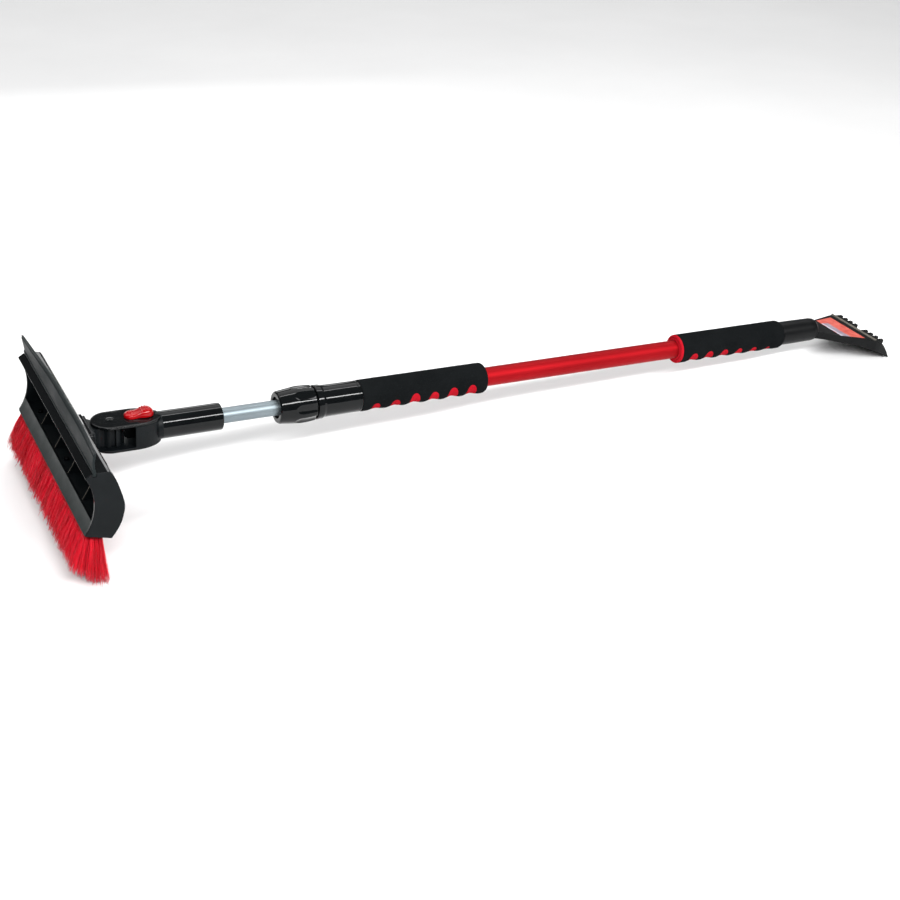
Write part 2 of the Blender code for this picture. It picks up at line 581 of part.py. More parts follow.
# ---------------------------------------------------------------- head pivot
knuckle = turned("pivot_knuckle", [(-KNUCKLE_H, PIN_R + GAP), (-KNUCKLE_H, KNUCKLE_R - 0.6), (-KNUCKLE_H + 0.6, KNUCKLE_R), (KNUCKLE_H - 0.6, KNUCKLE_R), (KNUCKLE_H, KNUCKLE_R - 0.6), (KNUCKLE_H, PIN_R + GAP)], MATTE_BLACK, pivot_frame, across=(0, 0))
notches = bmesh.new()
for turn in NOTCH_ANGLES:
    notch = add_box(notches, (KNUCKLE_R - NOTCH_DEPTH, KNUCKLE_R + 4), (-NOTCH_W / 2, NOTCH_W / 2), (-20, 20))
    bmesh.ops.rotate(notches, verts=notch, cent=(0, 0, 0), matrix=Matrix.Rotation(math.radians(turn), 3, "Z"))
cut(knuckle, keep("detent_notches", notches, None, pivot_frame))
neck = prism("knuckle_neck", [(-6.0, -9.0), (-14.5, -10.0), (-19.0, -13.0), (-24.4, -19.0), (-24.4, 19.0), (-19.0, 13.0), (-14.5, 10.0), (-6.0, 9.0)], -12.4, 12.4, "Z", None, pivot_frame)
cut(knuckle, neck, "UNION")
foot = prism("knuckle_foot", [(-FLANGE_HALF, FLANGE_Z[0]), (FLANGE_HALF, FLANGE_Z[0]), (FLANGE_HALF, FLANGE_Z[1]), (-FLANGE_HALF, FLANGE_Z[1])], FLANGE_X[0], FLANGE_X[1], "X", None, pivot_frame)
cut(knuckle, foot, "UNION")
pin_bore = bmesh.new()
add_rod(pin_bore, (0, 0, -20), (0, 0, 20), PIN_R + GAP, 48)
cut(knuckle, keep("pin_bore", pin_bore, None, pivot_frame))

# ---------------------------------------------------------------- brush head
FRONT = arc3(LOWER_LIP, (HOLLOW_X, 0.0), UPPER_LIP, 14)
OUTER = FRONT + [(-61.5, 40.0), (-43.5, 40.0), (-40.6, 38.9), BACK_TOP] + list(BACK) + [BACK_FOOT]
shell = prism("head_shell", OUTER, -HEAD_HALF, HEAD_HALF, "Y", GLOSS_BLACK, pivot_frame)
pad = prism("back_pad", [(-29.0, -21.5), (29.0, -21.5), (29.0, 15.5), (-29.0, 15.5)], -34.0, FLANGE_X[0] - 0.3, "X", None, pivot_frame)
cut(shell, pad, "UNION")

RIB_LINE = [(-58.5, -27.5), (-52.5, -17.0), (-47.5, -8.0), (-44.5, 6.0), (-45.0, 20.0), (-50.0, 33.2)]
mouth = prism("mouth", [(-90.0, 32.4), (-90.0, -19.0), (-62.7, -19.0), (-65.6, -27.5)] + RIB_LINE + [(-62.0, 33.2), (-67.0, 32.4)], -WALL_Y, WALL_Y, "Y", None, pivot_frame)
cut(shell, mouth)
BAY = [(x - 0.6, z) for x, z in RIB_LINE] + [(-42.6, 33.2), (-38.2, 25.0), (-34.9, 14.5), (-32.0, 4.6), (-30.6, -4.8), (-31.8, -14.0), (-34.5, -23.5), (-36.2, -27.5)]
stops = [-WALL_Y] + [y for rib in RIBS_Y for y in (rib - RIB_T / 2, rib + RIB_T / 2)] + [WALL_Y]
bays = bmesh.new()
for low, high in zip(stops[::2], stops[1::2]):
    add_prism(bays, BAY, low, high, "Y")
cut(shell, keep("bays", bays, None, pivot_frame))
cut(shell, prism("strip_channel", [(-69.4, -60.0), (-68.62, -37.0), (-66.0, -30.2), (-38.5, -30.2), (-45.9, -43.5), (-45.9, -60.0)], -WALL_Y, WALL_Y, "Y", None, pivot_frame))
cut(shell, prism("squeegee_groove", [(-61.2, 50.0), (-61.2, 35.8), (-56.8, 35.8), (-56.8, 50.0)], -170.0, 170.0, "Y", None, pivot_frame))

fixings = bmesh.new()
for y, z in KNUCKLE_SCREWS:
    add_rod(fixings, (-40.0, y, z), (-23.9, y, z), 2.3)
for y in STRIP_SCREW_Y:
    add_rod(fixings, (-52.0, y, -24.0), (-52.0, y, -37.0), 1.8)
fixings = keep("head_fixings", fixings, None, pivot_frame)
cut(shell, fixings)
cut(knuckle, fixings)

strip = prism("bristle_strip", [(-68.3, -37.25), (-65.7, -30.5), (-39.1, -30.5), (-46.25, -42.85)], -WALL_Y + GAP, WALL_Y - GAP, "Y", MATTE_BLACK, pivot_frame)
cut(strip, fixings)

for i, (y, z) in enumerate(KNUCKLE_SCREWS, 1):
    body = turned(f"knuckle_screw_{i}", [(-36.6, 0.0), (-36.6, 3.3), (-35.4, 3.6), (-34.6, 3.6), (-34.6, 2.0), (-24.9, 2.0), (-24.3, 1.2), (-24.3, 0.0)], STEEL, pivot_frame, seg=12, solid=True)
    body.location = Vector((0, y, z)) * MM
    smooth(body)
for i, y in enumerate(STRIP_SCREW_Y, 1):
    smooth(turned(f"strip_screw_{i}", [(-24.4, 0.0), (-24.4, 2.6), (-25.4, 3.2), (-27.2, 3.2), (-27.2, 1.5), (-35.4, 1.5), (-36.4, 0.6), (-36.4, 0.0)], STEEL, pivot_frame, seg=12, across=(-52.0, y), solid=True))


def strip_foot(x):
    """The height of the strip's underside, just below it."""
    t = (x - LOWER_LIP[0]) / (BACK_FOOT[0] - LOWER_LIP[0])
    return LOWER_LIP[1] + (BACK_FOOT[1] - LOWER_LIP[1]) * t - 0.35


def bristles(name, root, tips):
    outline = [(root[0], strip_foot(root[0])), (root[1], strip_foot(root[1]))] + tips
    return prism(name, outline, -BRISTLE_HALF, BRISTLE_HALF, "Y", BRISTLE_RED, pivot_frame)


bristles("bristles_front", (-69.6, -61.2), [(-66.8, -94.4), (-76.6, -87.6), BRISTLE_FRONT])
bristles("bristles_rear", (-60.4, -52.0), [BRISTLE_REAR, BRISTLE_LOW, (-65.8, -95.4)])

blade_bm = bmesh.new()
add_prism(blade_bm, [(-60.9, 36.1), (-57.1, 36.1), (-57.1, 41.0), (-58.4, 52.0), (-57.6, BLADE_TOP), (-60.0, BLADE_TOP), (-61.2, 52.0), (-60.9, 41.0)], -BLADE_HALF, BLADE_HALF, "Y", cuts=9)
for v in blade_bm.verts:
    rise = max(0.0, (v.co.z - 41.0) / (BLADE_TOP - 41.0))
    v.co.x += 3.4 * (1 - (v.co.y / BLADE_HALF) ** 2) * rise**2
keep("squeegee_blade", blade_bm, RUBBER, pivot_frame)
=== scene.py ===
import math

import bmesh
import bpy
import numpy as np
from mathutils import Matrix, Vector

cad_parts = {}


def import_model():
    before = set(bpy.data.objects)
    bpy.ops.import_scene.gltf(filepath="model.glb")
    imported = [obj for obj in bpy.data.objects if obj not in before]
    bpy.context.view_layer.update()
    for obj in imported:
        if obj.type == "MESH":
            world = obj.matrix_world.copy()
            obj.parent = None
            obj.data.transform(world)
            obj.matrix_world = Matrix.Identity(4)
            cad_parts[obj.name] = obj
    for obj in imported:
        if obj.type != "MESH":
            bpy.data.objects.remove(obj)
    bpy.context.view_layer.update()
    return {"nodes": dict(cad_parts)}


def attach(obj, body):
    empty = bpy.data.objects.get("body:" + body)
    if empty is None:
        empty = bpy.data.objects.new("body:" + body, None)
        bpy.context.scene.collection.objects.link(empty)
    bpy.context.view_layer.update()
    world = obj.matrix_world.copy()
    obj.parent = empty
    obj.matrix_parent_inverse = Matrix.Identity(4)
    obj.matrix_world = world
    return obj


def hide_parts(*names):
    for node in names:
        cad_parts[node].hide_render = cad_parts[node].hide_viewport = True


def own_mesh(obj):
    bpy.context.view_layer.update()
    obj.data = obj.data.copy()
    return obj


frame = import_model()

NODES = frame["nodes"]
MM = 0.001

# ------------------------------------------------------------------ the pole frame
# Pieces are modelled in millimetres along the pole, as the CAD is: X from the pivot pin towards
# the scraper, Y along the brush head, Z up through the pin. POLE puts that frame on the ground.
EDGE = (1168.6, -38.5)
BRISTLE_LOW = (-58.0, -102.0)
BRISTLE_FRONT = (-86.0, -78.0)
PITCH = math.atan2(EDGE[1] - BRISTLE_LOW[1], EDGE[0] - BRISTLE_LOW[0])


def on_ground(x, z):
    return (x * math.cos(PITCH) + z * math.sin(PITCH), -x * math.sin(PITCH) + z * math.cos(PITCH))


SHIFT = Vector((-(on_ground(*BRISTLE_FRONT)[0] + on_ground(*EDGE)[0]) / 2, 0.0, -on_ground(*BRISTLE_LOW)[1])) * MM
POLE = Matrix.Translation(SHIFT) @ Matrix.Rotation(PITCH, 4, "Y")


def world(x, y, z):
    return POLE @ (Vector((x, y, z)) * MM)


# ------------------------------------------------------------------ drawing helpers (2D)
def area2(points):
    return sum(a[0] * b[1] - b[0] * a[1] for a, b in zip(points, points[1:] + points[:1]))


def fillet(points, radius=0.0, steps=4, closed=True):
    """Rounds the corners of an outline. A point may carry its own radius as a third number."""
    out, n = [], len(points)
    for i, p in enumerate(points):
        r = p[2] if len(p) > 2 else radius
        if r <= 0 or (not closed and i in (0, n - 1)):
            out.append((p[0], p[1]))
            continue
        a, b = points[i - 1], points[(i + 1) % n]
        ax, ay, bx, by = a[0] - p[0], a[1] - p[1], b[0] - p[0], b[1] - p[1]
        la, lb = math.hypot(ax, ay), math.hypot(bx, by)
        if la < 1e-6 or lb < 1e-6:
            continue
        ax, ay, bx, by = ax / la, ay / la, bx / lb, by / lb
        turn = math.acos(max(-1.0, min(1.0, ax * bx + ay * by)))
        if turn > math.radians(174) or turn < math.radians(4):
            out.append((p[0], p[1]))
            continue
        d = min(r / math.tan(turn / 2), 0.46 * la, 0.46 * lb)
        rr = d * math.tan(turn / 2)
        mx, my = ax + bx, ay + by
        ml = math.hypot(mx, my)
        cx, cy = p[0] + mx / ml * rr / math.sin(turn / 2), p[1] + my / ml * rr / math.sin(turn / 2)
        t0 = math.atan2(p[1] + ay * d - cy, p[0] + ax * d - cx)
        t1 = math.atan2(p[1] + by * d - cy, p[0] + bx * d - cx)
        dt = (t1 - t0 + math.pi) % (2 * math.pi) - math.pi
        out += [(cx + rr * math.cos(t0 + dt * k / steps), cy + rr * math.sin(t0 + dt * k / steps)) for k in range(steps + 1)]
    return out


def offset(points, d):
    """Moves an anticlockwise outline inwards by d."""
    if abs(d) < 1e-9:
        return list(points)
    out, n = [], len(points)
    for i, p in enumerate(points):
        a, b = points[i - 1], points[(i + 1) % n]
        ux, uy, vx, vy = p[0] - a[0], p[1] - a[1], b[0] - p[0], b[1] - p[1]
        lu, lv = max(1e-9, math.hypot(ux, uy)), max(1e-9, math.hypot(vx, vy))
        n1, n2 = (-uy / lu, ux / lu), (-vy / lv, vx / lv)
        mx, my = n1[0] + n2[0], n1[1] + n2[1]
        k = max(0.35, (mx * mx + my * my) / 2)
        out.append((p[0] + mx * d / k, p[1] + my * d / k))
    return out


def spline(points, per=6):
    """A smooth line through the points."""
    out, n = [], len(points)
    for i in range(n - 1):
        p0, p1, p2, p3 = points[max(0, i - 1)], points[i], points[i + 1], points[min(n - 1, i + 2)]
        for k in range(per):
            t = k / per
            out.append(tuple(
                0.5 * (2 * b + (c - a) * t + (2 * a - 5 * b + 4 * c - d) * t * t + (-a + 3 * b - 3 * c + d) * t**3)
                for a, b, c, d in zip(p0, p1, p2, p3)
            ))
    out.append(tuple(points[-1]))
    return out


def arc3(a, b, c, n):
    """Points on the circle through a, b and c, from a to c."""
    (ax, ay), (bx, by), (cx, cy) = a, b, c
    d = 2 * (ax * (by - cy) + bx * (cy - ay) + cx * (ay - by))
    ux = ((ax**2 + ay**2) * (by - cy) + (bx**2 + by**2) * (cy - ay) + (cx**2 + cy**2) * (ay - by)) / d
    uy = ((ax**2 + ay**2) * (cx - bx) + (bx**2 + by**2) * (ax - cx) + (cx**2 + cy**2) * (bx - ax)) / d
    r = math.hypot(ax - ux, ay - uy)
    t0, tb, t1 = (math.atan2(p[1] - uy, p[0] - ux) for p in (a, b, c))
    while t1 < t0:
        t1 += 2 * math.pi
    while tb < t0:
        tb += 2 * math.pi
    if tb > t1:
        t1 -= 2 * math.pi
    return [(ux + r * math.cos(t0 + (t1 - t0) * i / n), uy + r * math.sin(t0 + (t1 - t0) * i / n)) for i in range(n + 1)]


def smoothstep(x, a, b):
    t = min(1.0, max(0.0, (x - a) / (b - a)))
    return t * t * (3 - 2 * t)


# ------------------------------------------------------------------ mesh building
PLACE = {
    "X": lambda a, b, h: (h, a, b),
    "Y": lambda a, b, h: (a, h, b),
    "Z": lambda a, b, h: (a, b, h),
}


class Build:
    """Closed bodies collected into one mesh, in pole-frame mm."""

    def __init__(self):
        self.v, self.f, self.m = [], [], []

    def ring(self, points):
        start = len(self.v)
        self.v.extend(points)
        return list(range(start, len(self.v)))

    def face(self, corners, mat=0):
        self.f.append(tuple(corners))
        self.m.append(mat)

    def bridge(self, a, b, mat=0):
        if len(a) == 1 and len(b) == 1:
            return
        n = max(len(a), len(b))
        for i in range(n):
            j = (i + 1) % n
            if len(a) == 1:
                self.face((a[0], b[j], b[i]), mat)
            elif len(b) == 1:
                self.face((a[i], a[j], b[0]), mat)
            else:
                self.face((a[i], a[j], b[j], b[i]), mat)

    def plate(self, outline, low, high, along, edge=0.6, steps=3, mat=0, low_edge=None, slices=0, shape=None):
        """An outline run along an axis, with rounded rims."""
        outline = list(outline)
        if area2(outline) < 0:
            outline.reverse()
        low_edge = edge if low_edge is None else low_edge
        place = PLACE[along]
        stations = []
        for k in range(steps + 1 if low_edge > 0 else 1):
            t = math.pi / 2 * k / steps
            stations.append((low_edge * (1 - math.sin(t)), low + low_edge * (1 - math.cos(t))) if low_edge > 0 else (0.0, low))
        for k in range(1, slices + 1):
            stations.append((0.0, low + low_edge + (high - edge - low - low_edge) * k / (slices + 1)))
        for k in range(steps + 1 if edge > 0 else 1):
            t = math.pi / 2 * k / steps
            stations.append((edge * (1 - math.cos(t)), high - edge * (1 - math.sin(t))) if edge > 0 else (0.0, high))
        rings = []
        for inset, h in stations:
            points = [place(a, b, h) for a, b in offset(outline, inset)]
            if shape:
                points = [shape(p) for p in points]
            rings.append(self.ring(points))
        for a, b in zip(rings, rings[1:]):
            self.bridge(a, b, mat)
        self.face(reversed(rings[0]), mat)
        self.face(rings[-1], mat)
        return self

    def lathe(self, section, seg=128, mat=0, centre=(0.0, 0.0), along="X", radius=None):
        """A turned body: (height along the axis, radius) from axis to axis, or a closed loop."""
        rings = []
        for h, r in section:
            if r <= 1e-6:
                points = [(0.0, 0.0)]
            else:
                points = []
                for i in range(seg):
                    a = 2 * math.pi * i / seg
                    rr = radius(h, r, a) if radius else r
                    points.append((rr * math.sin(a), -rr * math.cos(a)))
            if along == "X":
                rings.append(self.ring([(h, centre[0] + p, centre[1] + q) for p, q in points]))
            elif along == "Z":
                rings.append(self.ring([(centre[0] + p, centre[1] + q, h) for p, q in points]))
            else:
                rings.append(self.ring([(centre[0] + p, h, centre[1] + q) for p, q in points]))
        pairs = list(zip(rings, rings[1:]))
        if section[0][1] > 1e-6:
            pairs.append((rings[-1], rings[0]))
        for k, (a, b) in enumerate(pairs):
            self.bridge(a, b, mat(k) if callable(mat) else mat)
        return self

    def rod(self, p, q, r, seg=24, mat=0):
        """A plain cutter bar between two points."""
        p, q = Vector(p), Vector(q)
        turn = (q - p).to_track_quat("Z", "Y").to_matrix()
        rings = []
        for end in (p, q):
            rings.append(self.ring([tuple(end + turn @ Vector((r * math.cos(2 * math.pi * i / seg), r * math.sin(2 * math.pi * i / seg), 0))) for i in range(seg)]))
        self.bridge(rings[0], rings[1], mat)
        self.face(reversed(rings[0]), mat)
        self.face(rings[1], mat)
        return self

    def raw(self, name, mats=()):
        mesh = bpy.data.meshes.new(name)
        mesh.from_pydata([(x * MM, y * MM, z * MM) for x, y, z in self.v], [], self.f)
        for mat in mats:
            mesh.materials.append(mat)
        if mats:
            mesh.polygons.foreach_set("material_index", self.m)
        bm = bmesh.new()
        bm.from_mesh(mesh)
        bmesh.ops.recalc_face_normals(bm, faces=bm.faces)
        bm.to_mesh(mesh)
        bm.free()
        made = bpy.data.objects.new(name, mesh)
        bpy.context.scene.collection.objects.link(made)
        made.matrix_world = POLE
        return made


def settle(made):
    """Makes the modifiers' result the object's own mesh."""
    bpy.context.view_layer.update()
    graph = bpy.context.evaluated_depsgraph_get()
    mesh = bpy.data.meshes.new_from_object(made.evaluated_get(graph))
    made.modifiers.clear()
    old, made.data = made.data, mesh
    bpy.data.meshes.remove(old)
    mesh.name = made.name
    return made


def carve(made, tool, operation="DIFFERENCE"):
    """Cuts made with another body, or joins it on."""
    if isinstance(tool, Build):
        tool = tool.raw("tool")
    step = made.modifiers.new("carve", "BOOLEAN")
    step.operation = operation
    step.solver = "EXACT"
    step.object = tool
    settle(made)
    bpy.data.objects.remove(tool, do_unlink=True)
    return made


def soften(made, width, segments=2, degrees=38):
    """Rounds the hard edges of a body that was cut."""
    bm = bmesh.new()
    bm.from_mesh(made.data)
    bmesh.ops.remove_doubles(bm, verts=bm.verts, dist=0.00002)
    bmesh.ops.dissolve_limit(bm, angle_limit=math.radians(0.6), verts=bm.verts, edges=bm.edges)
    bm.to_mesh(made.data)
    bm.free()
    step = made.modifiers.new("edges", "BEVEL")
    step.width = width * MM
    step.segments = segments
    step.limit_method = "ANGLE"
    step.angle_limit = math.radians(degrees)
    step.use_clamp_overlap = True
    return settle(made)


def finish_piece(made, body, nodes=(), sharp=35, weighted=True):
    """Shades a piece, lets it ride on its body, and puts it in the place of its CAD nodes."""
    made.data.shade_smooth()
    if sharp:
        made.data.set_sharp_from_angle(angle=math.radians(sharp))
    if weighted:
        step = made.modifiers.new("shading", "WEIGHTED_NORMAL")
        step.keep_sharp = True
        step.weight = 60
    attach(made, body)
    if nodes:
        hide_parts(*nodes)
    return made


# ------------------------------------------------------------------ materials
class Mat:
    """A procedural Principled material. Textures are laid in the object's own coordinates, in metres."""

    def __init__(self, name, roughness=0.5, metallic=0.0, specular=0.5, **sockets):
        self.mat = bpy.data.materials.new(name)
        self.mat.use_nodes = True
        self.tree = self.mat.node_tree
        self.shader = self.tree.nodes["Principled BSDF"]
        self.set("Roughness", roughness)
        self.set("Metallic", metallic)
        self.set("Specular IOR Level", specular)
        for key, value in sockets.items():
            self.set(key.replace("_", " ").title().replace("Ior", "IOR"), value)

    def set(self, socket, value):
        self.shader.inputs[socket].default_value = value

    def new(self, kind, **values):
        node = self.tree.nodes.new(kind)
        for key, value in values.items():
            setattr(node, key, value)
        return node

    def link(self, a, b):
        self.tree.links.new(a, b)

    def coords(self, scale=(1.0, 1.0, 1.0)):
        source = self.new("ShaderNodeTexCoord")
        mapping = self.new("ShaderNodeMapping")
        mapping.inputs["Scale"].default_value = scale
        self.link(source.outputs["Object"], mapping.inputs["Vector"])
        return mapping.outputs["Vector"]

    def noise(self, scale, detail=3.0, rough=0.55, stretch=(1.0, 1.0, 1.0), distort=0.0):
        node = self.new("ShaderNodeTexNoise")
        self.link(self.coords(stretch), node.inputs["Vector"])
        node.inputs["Scale"].default_value = scale
        node.inputs["Detail"].default_value = detail
        node.inputs["Roughness"].default_value = rough
        node.inputs["Distortion"].default_value = distort
        return node.outputs["Fac"]

    def cells(self, scale, feature="F1", stretch=(1.0, 1.0, 1.0), smooth=None):
        node = self.new("ShaderNodeTexVoronoi")
        node.feature = feature
        self.link(self.coords(stretch), node.inputs["Vector"])
        node.inputs["Scale"].default_value = scale
        if smooth is not None and feature == "SMOOTH_F1":
            node.inputs["Smoothness"].default_value = smooth
        return node.outputs["Distance"]

    def attribute(self, name):
        node = self.new("ShaderNodeAttribute", attribute_name=name)
        return node.outputs["Fac"]

    def span(self, source, a, b, low, high, clamp=True):
        node = self.new("ShaderNodeMapRange")
        node.clamp = clamp
        self.link(source, node.inputs["Value"])
        for key, value in (("From Min", a), ("From Max", b), ("To Min", low), ("To Max", high)):
            node.inputs[key].default_value = value
        return node.outputs["Result"]

    def maths(self, operation, a, b=None):
        node = self.new("ShaderNodeMath", operation=operation)
        for k, value in enumerate((a, b)):
            if value is None:
                continue
            if isinstance(value, (int, float)):
                node.inputs[k].default_value = value
            else:
                self.link(value, node.inputs[k])
        return node.outputs["Value"]

    def ramp(self, source, stops):
        node = self.new("ShaderNodeValToRGB")
        elements = node.color_ramp.elements
        while len(elements) > 1:
            elements.remove(elements[-1])
        elements[0].position, elements[0].color = stops[0][0], (*stops[0][1], 1.0)
        for place, colour in stops[1:]:
            element = elements.new(place)
            element.color = (*colour, 1.0)
        self.link(source, node.inputs["Fac"])
        return node.outputs["Color"]

    def mix(self, a, b, factor, mode="MIX"):
        node = self.new("ShaderNodeMix", data_type="RGBA", blend_type=mode)
        for key, value in (("A", a), ("B", b)):
            socket = [s for s in node.inputs if s.name == key and s.type == "RGBA"][0]
            if isinstance(value, tuple):
                socket.default_value = (*value, 1.0)
            else:
                self.link(value, socket)
        factor_socket = [s for s in node.inputs if s.name == "Factor" and s.type == "VALUE"][0]
        if isinstance(factor, (int, float)):
            factor_socket.default_value = factor
        else:
            self.link(factor, factor_socket)
        return [s for s in node.outputs if s.type == "RGBA"][0]

    def colour(self, source):
        self.link(source, self.shader.inputs["Base Color"])

    def roughen(self, source):
        self.link(source, self.shader.inputs["Roughness"])

    def bump(self, height, strength, distance, after=None):
        node = self.new("ShaderNodeBump")
        node.inputs["Strength"].default_value = strength
        node.inputs["Distance"].default_value = distance
        self.link(height, node.inputs["Height"])
        if after is not None:
            self.link(after, node.inputs["Normal"])
        self.link(node.outputs["Normal"], self.shader.inputs["Normal"])
        return node.outputs["Normal"]


def rgb(r, g, b):
    """An sRGB colour of 0-255 as linear numbers."""
    return tuple(((c / 255 + 0.055) / 1.055) ** 2.4 if c > 10 else c / 255 / 12.92 for c in (r, g, b))


def plastic(name, dark, light, rough, grain, grain_depth, specular=0.5, wear=0.0):
    """Moulded plastic: mottled colour, uneven gloss, a moulded grain and a slight waviness."""
    m = Mat(name, rough[0], 0.0, specular)
    m.colour(m.ramp(m.noise(42.0, 4.0), [(0.3, dark), (0.7, light)]))
    smudge = m.noise(65.0, 5.0, 0.6)
    m.roughen(m.span(smudge, 0.3, 0.75, rough[0], rough[1]))
    wave = m.bump(m.noise(90.0, 2.0), 0.25, 0.00035)
    m.bump(m.noise(grain, 2.0, 0.6), 0.55, grain_depth, wave)
    return m.mat


GLOSS_BLACK = plastic("gloss_black", rgb(6, 8, 9), rgb(11, 13, 14), (0.05, 0.1), 1500.0, 0.000008, 0.22)
SATIN_BLACK = plastic("matte_black", rgb(8, 11, 13), rgb(13, 17, 19), (0.38, 0.54), 2600.0, 0.00005, 0.12)
SCRAPER_BLACK = plastic("scraper_black", rgb(7, 8, 9), rgb(12, 13, 14), (0.34, 0.46), 2200.0, 0.00005, 0.13)
BAND_GREY = plastic("lip_grey", rgb(26, 32, 32), rgb(35, 41, 40), (0.38, 0.52), 1800.0, 0.00004, 0.15)
# Painted shade: near-black nylon, so the guide bush seen in the shadowed housing window stays dark.
NYLON_PAINTED_SHADE = plastic("nylon", rgb(9, 9, 10), rgb(15, 15, 16), (0.5, 0.6), 1400.0, 0.00003, 0.06)
RED_PLASTIC = plastic("red_plastic", rgb(136, 3, 8), rgb(158, 6, 13), (0.1, 0.17), 1300.0, 0.00001, 0.3)


def anodised():
    """Drawn and dyed tube: fine lines along it, slight tone bands, and an even satin gloss."""
    m = Mat("red_anodised", 0.45, 0.85, 0.3)
    lines = m.noise(900.0, 4.0, 0.6, (0.02, 1.0, 1.0))
    broad = m.noise(30.0, 3.0, 0.5, (0.25, 1.0, 1.0))
    tone = m.maths("ADD", m.maths("MULTIPLY", lines, 0.45), m.maths("MULTIPLY", broad, 0.55))
    m.colour(m.ramp(tone, [(0.3, rgb(142, 10, 18)), (0.55, rgb(154, 13, 22)), (0.75, rgb(166, 17, 27))]))
    m.roughen(m.span(lines, 0.3, 0.7, 0.52, 0.64))
    m.bump(lines, 0.35, 0.00004)
    return m.mat


def aluminium():
    """Bare drawn tube: bright, with fine lines and faint handling marks."""
    m = Mat("aluminium", 0.45, 0.9, 0.4)
    lines = m.noise(1100.0, 4.0, 0.65, (0.015, 1.0, 1.0))
    broad = m.noise(24.0, 4.0, 0.55, (0.3, 1.0, 1.0))
    tone = m.maths("ADD", m.maths("MULTIPLY", lines, 0.4), m.maths("MULTIPLY", broad, 0.6))
    m.colour(m.ramp(tone, [(0.3, rgb(112, 122, 127)), (0.55, rgb(124, 134, 139)), (0.75, rgb(136, 146, 150))]))
    m.roughen(m.span(tone, 0.3, 0.7, 0.4, 0.5))
    m.bump(lines, 0.3, 0.00004)
    return m.mat


def steel(name, dark, light, rough):
    m = Mat(name, rough, 1.0, 0.5)
    m.colour(m.ramp(m.noise(420.0, 4.0), [(0.3, dark), (0.7, light)]))
    m.roughen(m.span(m.noise(700.0, 3.0), 0.3, 0.7, rough - 0.08, rough + 0.12))
    m.bump(m.noise(2400.0, 3.0), 0.4, 0.00003)
    return m.mat


def foam(name, dark, light, fleck):
    """Closed-cell foam: a fine pitted skin of small cells, slightly paler where it is rubbed."""
    m = Mat(name, 0.85, 0.0, 0.03)
    cells = m.cells(900.0, "SMOOTH_F1", smooth=0.6)
    fine = m.noise(2300.0, 3.0, 0.7)
    broad = m.noise(26.0, 4.0, 0.6)
    pores = m.maths("ADD", m.maths("MULTIPLY", cells, 0.7), m.maths("MULTIPLY", fine, 0.45))
    base = m.ramp(broad, [(0.3, dark), (0.7, light)])
    m.colour(m.mix(base, fleck, m.span(pores, 0.62, 0.95, 0.0, 0.55)))
    m.roughen(m.span(fine, 0.3, 0.7, 0.78, 0.95))
    m.bump(pores, 0.8, 0.00022)
    return m.mat


def rubber():
    """Squeegee rubber: slate grey with a bloomed surface and fine drag lines along its length."""
    m = Mat("rubber", 0.5, 0.0, 0.14)
    broad = m.noise(36.0, 5.0, 0.6, (1.0, 0.35, 1.0))
    drag = m.noise(700.0, 3.0, 0.6, (1.0, 0.03, 1.0))
    tone = m.maths("ADD", m.maths("MULTIPLY", broad, 0.65), m.maths("MULTIPLY", drag, 0.35))
    m.colour(m.ramp(tone, [(0.3, rgb(14, 19, 21)), (0.55, rgb(21, 27, 28)), (0.75, rgb(30, 36, 37))]))
    m.roughen(m.span(broad, 0.3, 0.7, 0.42, 0.62))
    m.bump(drag, 0.4, 0.00006)
    return m.mat


def bristle():
    """Dyed filament: each one its own tone, with painted shade where the tufts crowd at the strip and a painted
    highlight paling the tips.
    """
    m = Mat("bristle", 0.38, 0.0, 0.3)
    tint, along = m.attribute("tint"), m.attribute("along")
    body = m.ramp(tint, [(0.0, rgb(176, 10, 26)), (0.5, rgb(212, 16, 38)), (1.0, rgb(240, 28, 56))])
    # Painted shade: the first fifth of each filament is mixed towards a darker red.
    root_shade = m.mix(body, rgb(150, 8, 20), m.span(along, 0.0, 0.2, 0.7, 0.0))
    # Painted highlight: the last part of each filament is mixed towards a pale pink.
    tip = m.mix(root_shade, rgb(240, 52, 84), m.span(along, 0.86, 1.0, 0.0, 0.5))
    m.colour(tip)
    m.roughen(m.span(m.noise(500.0, 2.0), 0.3, 0.7, 0.28, 0.42))
    m.bump(m.noise(900.0, 2.0, 0.5, (1.0, 1.0, 0.1)), 0.3, 0.00005)
    return m.mat


def label():
    """A printed label: a salmon field with a pale band on the side next to the sleeve."""
    m = Mat("label", 0.4, 0.0, 0.45)
    place = m.new("ShaderNodeSeparateXYZ")
    m.link(m.coords(), place.inputs["Vector"])
    dots = m.noise(1400.0, 2.0, 0.5)
    field = m.ramp(m.noise(110.0, 4.0, 0.65), [(0.3, rgb(168, 64, 54)), (0.5, rgb(190, 84, 72)), (0.7, rgb(204, 104, 92))])
    pale = m.mix(rgb(186, 184, 198), m.ramp(m.noise(160.0, 3.0), [(0.35, rgb(120, 108, 122)), (0.65, rgb(150, 138, 148))]), m.span(place.outputs["X"], 1.0888, 1.0912, 0.0, 1.0))
    wobble = m.span(m.noise(140.0, 3.0), 0.3, 0.7, -0.0012, 0.0012)
    edge = m.maths("ADD", place.outputs["X"], wobble)
    inside = m.maths("MULTIPLY", m.span(edge, 1.0868, 1.0874, 0.0, 1.0), m.span(edge, 1.1005, 1.1025, 1.0, 0.0))
    inside = m.maths("MULTIPLY", inside, m.span(place.outputs["Y"], 0.0165, 0.0185, 1.0, 0.0))
    m.colour(m.mix(field, pale, inside))
    m.roughen(m.span(dots, 0.3, 0.7, 0.32, 0.46))
    m.bump(m.noise(1100.0, 3.0), 0.25, 0.00002)
    return m.mat


